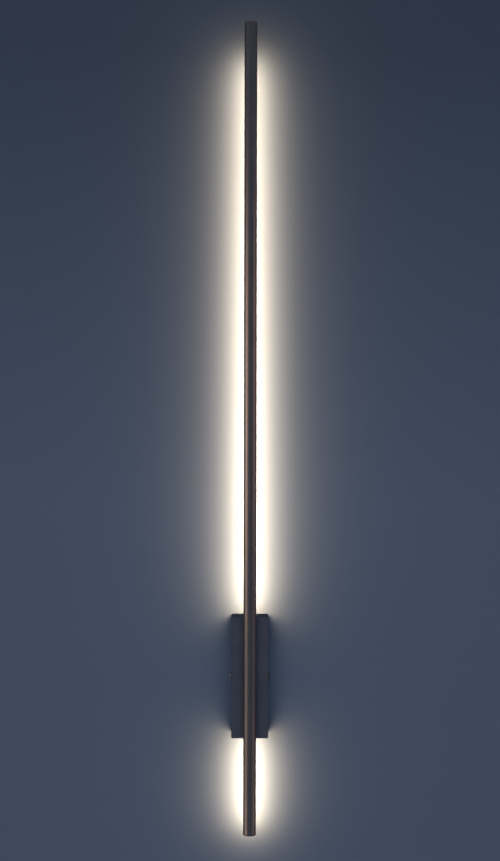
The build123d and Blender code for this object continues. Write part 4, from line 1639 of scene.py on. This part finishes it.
lampLook = {
    "softLeft": {"at": (-1.3, -3.0, 0.9), "size": (2.4, 2.4), "power": 58.0, "colour": (1.0, 0.98, 0.95),
                 "stripeless": True},
    "softRight": {"at": (1.0, -3.0, 0.5), "size": (2.4, 2.4), "power": 38.0, "colour": (0.95, 0.97, 1.0),
                  "stripeless": True},
    "sheenHigh": {"at": (-1.22, -0.46, 0.38), "size": (0.9, 0.82), "power": 69.0,
                  "colour": (1.0, 0.61, 0.43), "stripeOn": ["tubeShell", "topCap", "leftSideScrew"]},
    "sheenLow": {"at": (-1.22, -0.46, -0.68), "size": (0.9, 0.40), "power": 25.0,
                 "colour": (1.0, 0.61, 0.43), "stripeOn": ["tubeShell", "bottomCap", "leftSideScrew"]},
    "rimHigh": {"at": (1.22, -0.30, 0.46), "size": (0.9, 0.82), "power": 21.0,
                "colour": (1.0, 0.48, 0.28), "stripeOn": ["tubeShell", "topCap"]},
    "rimLow": {"at": (1.22, -0.30, -0.70), "size": (0.9, 0.36), "power": 10.0,
               "colour": (1.0, 0.48, 0.28), "stripeOn": ["tubeShell", "bottomCap"]},
    "rearLeft": {"at": (1.2, 2.2, 1.2), "size": (2.0, 2.0), "power": 24.0, "colour": (1.0, 1.0, 1.0)},
    "rearRight": {"at": (-1.2, 2.2, 0.4), "size": (2.0, 2.0), "power": 19.0, "colour": (1.0, 1.0, 1.0)},
}
lampAim = Vector((0.0, 0.0, 0.2))


def addLamp(name, lamp, size, colour, at, direction):
    lamp.shape = "RECTANGLE"
    lamp.size, lamp.size_y = size
    lamp.color = colour
    holder = bpy.data.objects.new(name, lamp)
    holder.location = at
    holder.rotation_euler = direction.to_track_quat("-Z", "Y").to_euler()
    holder.visible_camera = False
    scene.collection.objects.link(holder)
    return holder


def lightOnly(holder, things):
    # The lamp's light reaches these things and nothing else
    lit = bpy.data.collections.new(holder.name + "Receivers")
    for thing in things:
        lit.objects.link(thing)
    holder.light_linking.receiver_collection = lit


def makeLamps():
    # Lamps with stripeOn only lay a sheen on those pieces, and stripeless ones leave no reflection
    for name, look in lampLook.items():
        lamp = bpy.data.lights.new(name, "AREA")
        lamp.energy = look["power"]
        holder = addLamp(name, lamp, look["size"], look["colour"], look["at"], lampAim - Vector(look["at"]))
        holder.visible_glossy = not look.get("stripeless", False)
        if "stripeOn" in look:
            holder.visible_diffuse = False
            lightOnly(holder, [bpy.data.objects[piece] for piece in look["stripeOn"]])


def makeStripGlow(wall):
    # The light strips are far brighter than the studio, so lamps on the diffusers light the wall
    for name, (low, high) in (("upperGlow", glowLook["upperReach"]), ("lowerGlow", glowLook["lowerReach"])):
        width, length = tubeLook["slotWidth"], high - low
        lamp = bpy.data.lights.new(name, "AREA")
        lamp.energy = glowLook["radiance"] * math.pi * width * length
        at = (0.0, tubeHigh.y + glowLook["lampGap"], (low + high) / 2)
        holder = addLamp(name, lamp, (width, length), glowLook["wallColour"], at, Vector((0.0, 1.0, 0.0)))
        lightOnly(holder, [wall])


def makeWorld():
    world = bpy.data.worlds.new("studio")
    world.use_nodes = True
    tree = world.node_tree
    light = tree.nodes["Background"]
    light.inputs["Color"].default_value = (*worldLook["colour"], 1.0)
    light.inputs["Strength"].default_value = worldLook["strength"]
    backdrop = {"Color": (*worldLook["seenColour"], 1.0), "Strength": 1.0}
    seen = addNode(tree, "ShaderNodeBackground", backdrop)
    rays = addNode(tree, "ShaderNodeLightPath").outputs
    direct = calculate(tree, "MAXIMUM", rays["Is Camera Ray"], rays["Is Glossy Ray"])
    direct = calculate(tree, "MAXIMUM", direct, rays["Is Transmission Ray"])
    mixed = mixShaders(tree, direct, light, seen)
    tree.links.new(mixed.outputs[0], tree.nodes["World Output"].inputs["Surface"])
    scene.world = world


cameraLook = {
    "at": (-0.0003, -1.700, 0.3673),
    "lens": 46.968,
    "sensor": 36.0,
    "rollDegrees": 0.108,
}


def makeCamera():
    data = bpy.data.cameras.new("camera")
    data.sensor_width = cameraLook["sensor"]
    data.lens = cameraLook["lens"]
    camera = bpy.data.objects.new("camera", data)
    level = Matrix.Rotation(math.radians(90.0), 3, "X")
    roll = Matrix.Rotation(math.radians(cameraLook["rollDegrees"]), 3, "Z")
    camera.rotation_euler = (level @ roll).to_euler()
    camera.location = cameraLook["at"]
    scene.collection.objects.link(camera)
    scene.camera = camera


wall = makeWall()
makeFloor()
makeLamps()
makeStripGlow(wall)
makeWorld()
makeCamera()
scene.view_settings.view_transform = "Standard"
print("stage, lamps and camera made")
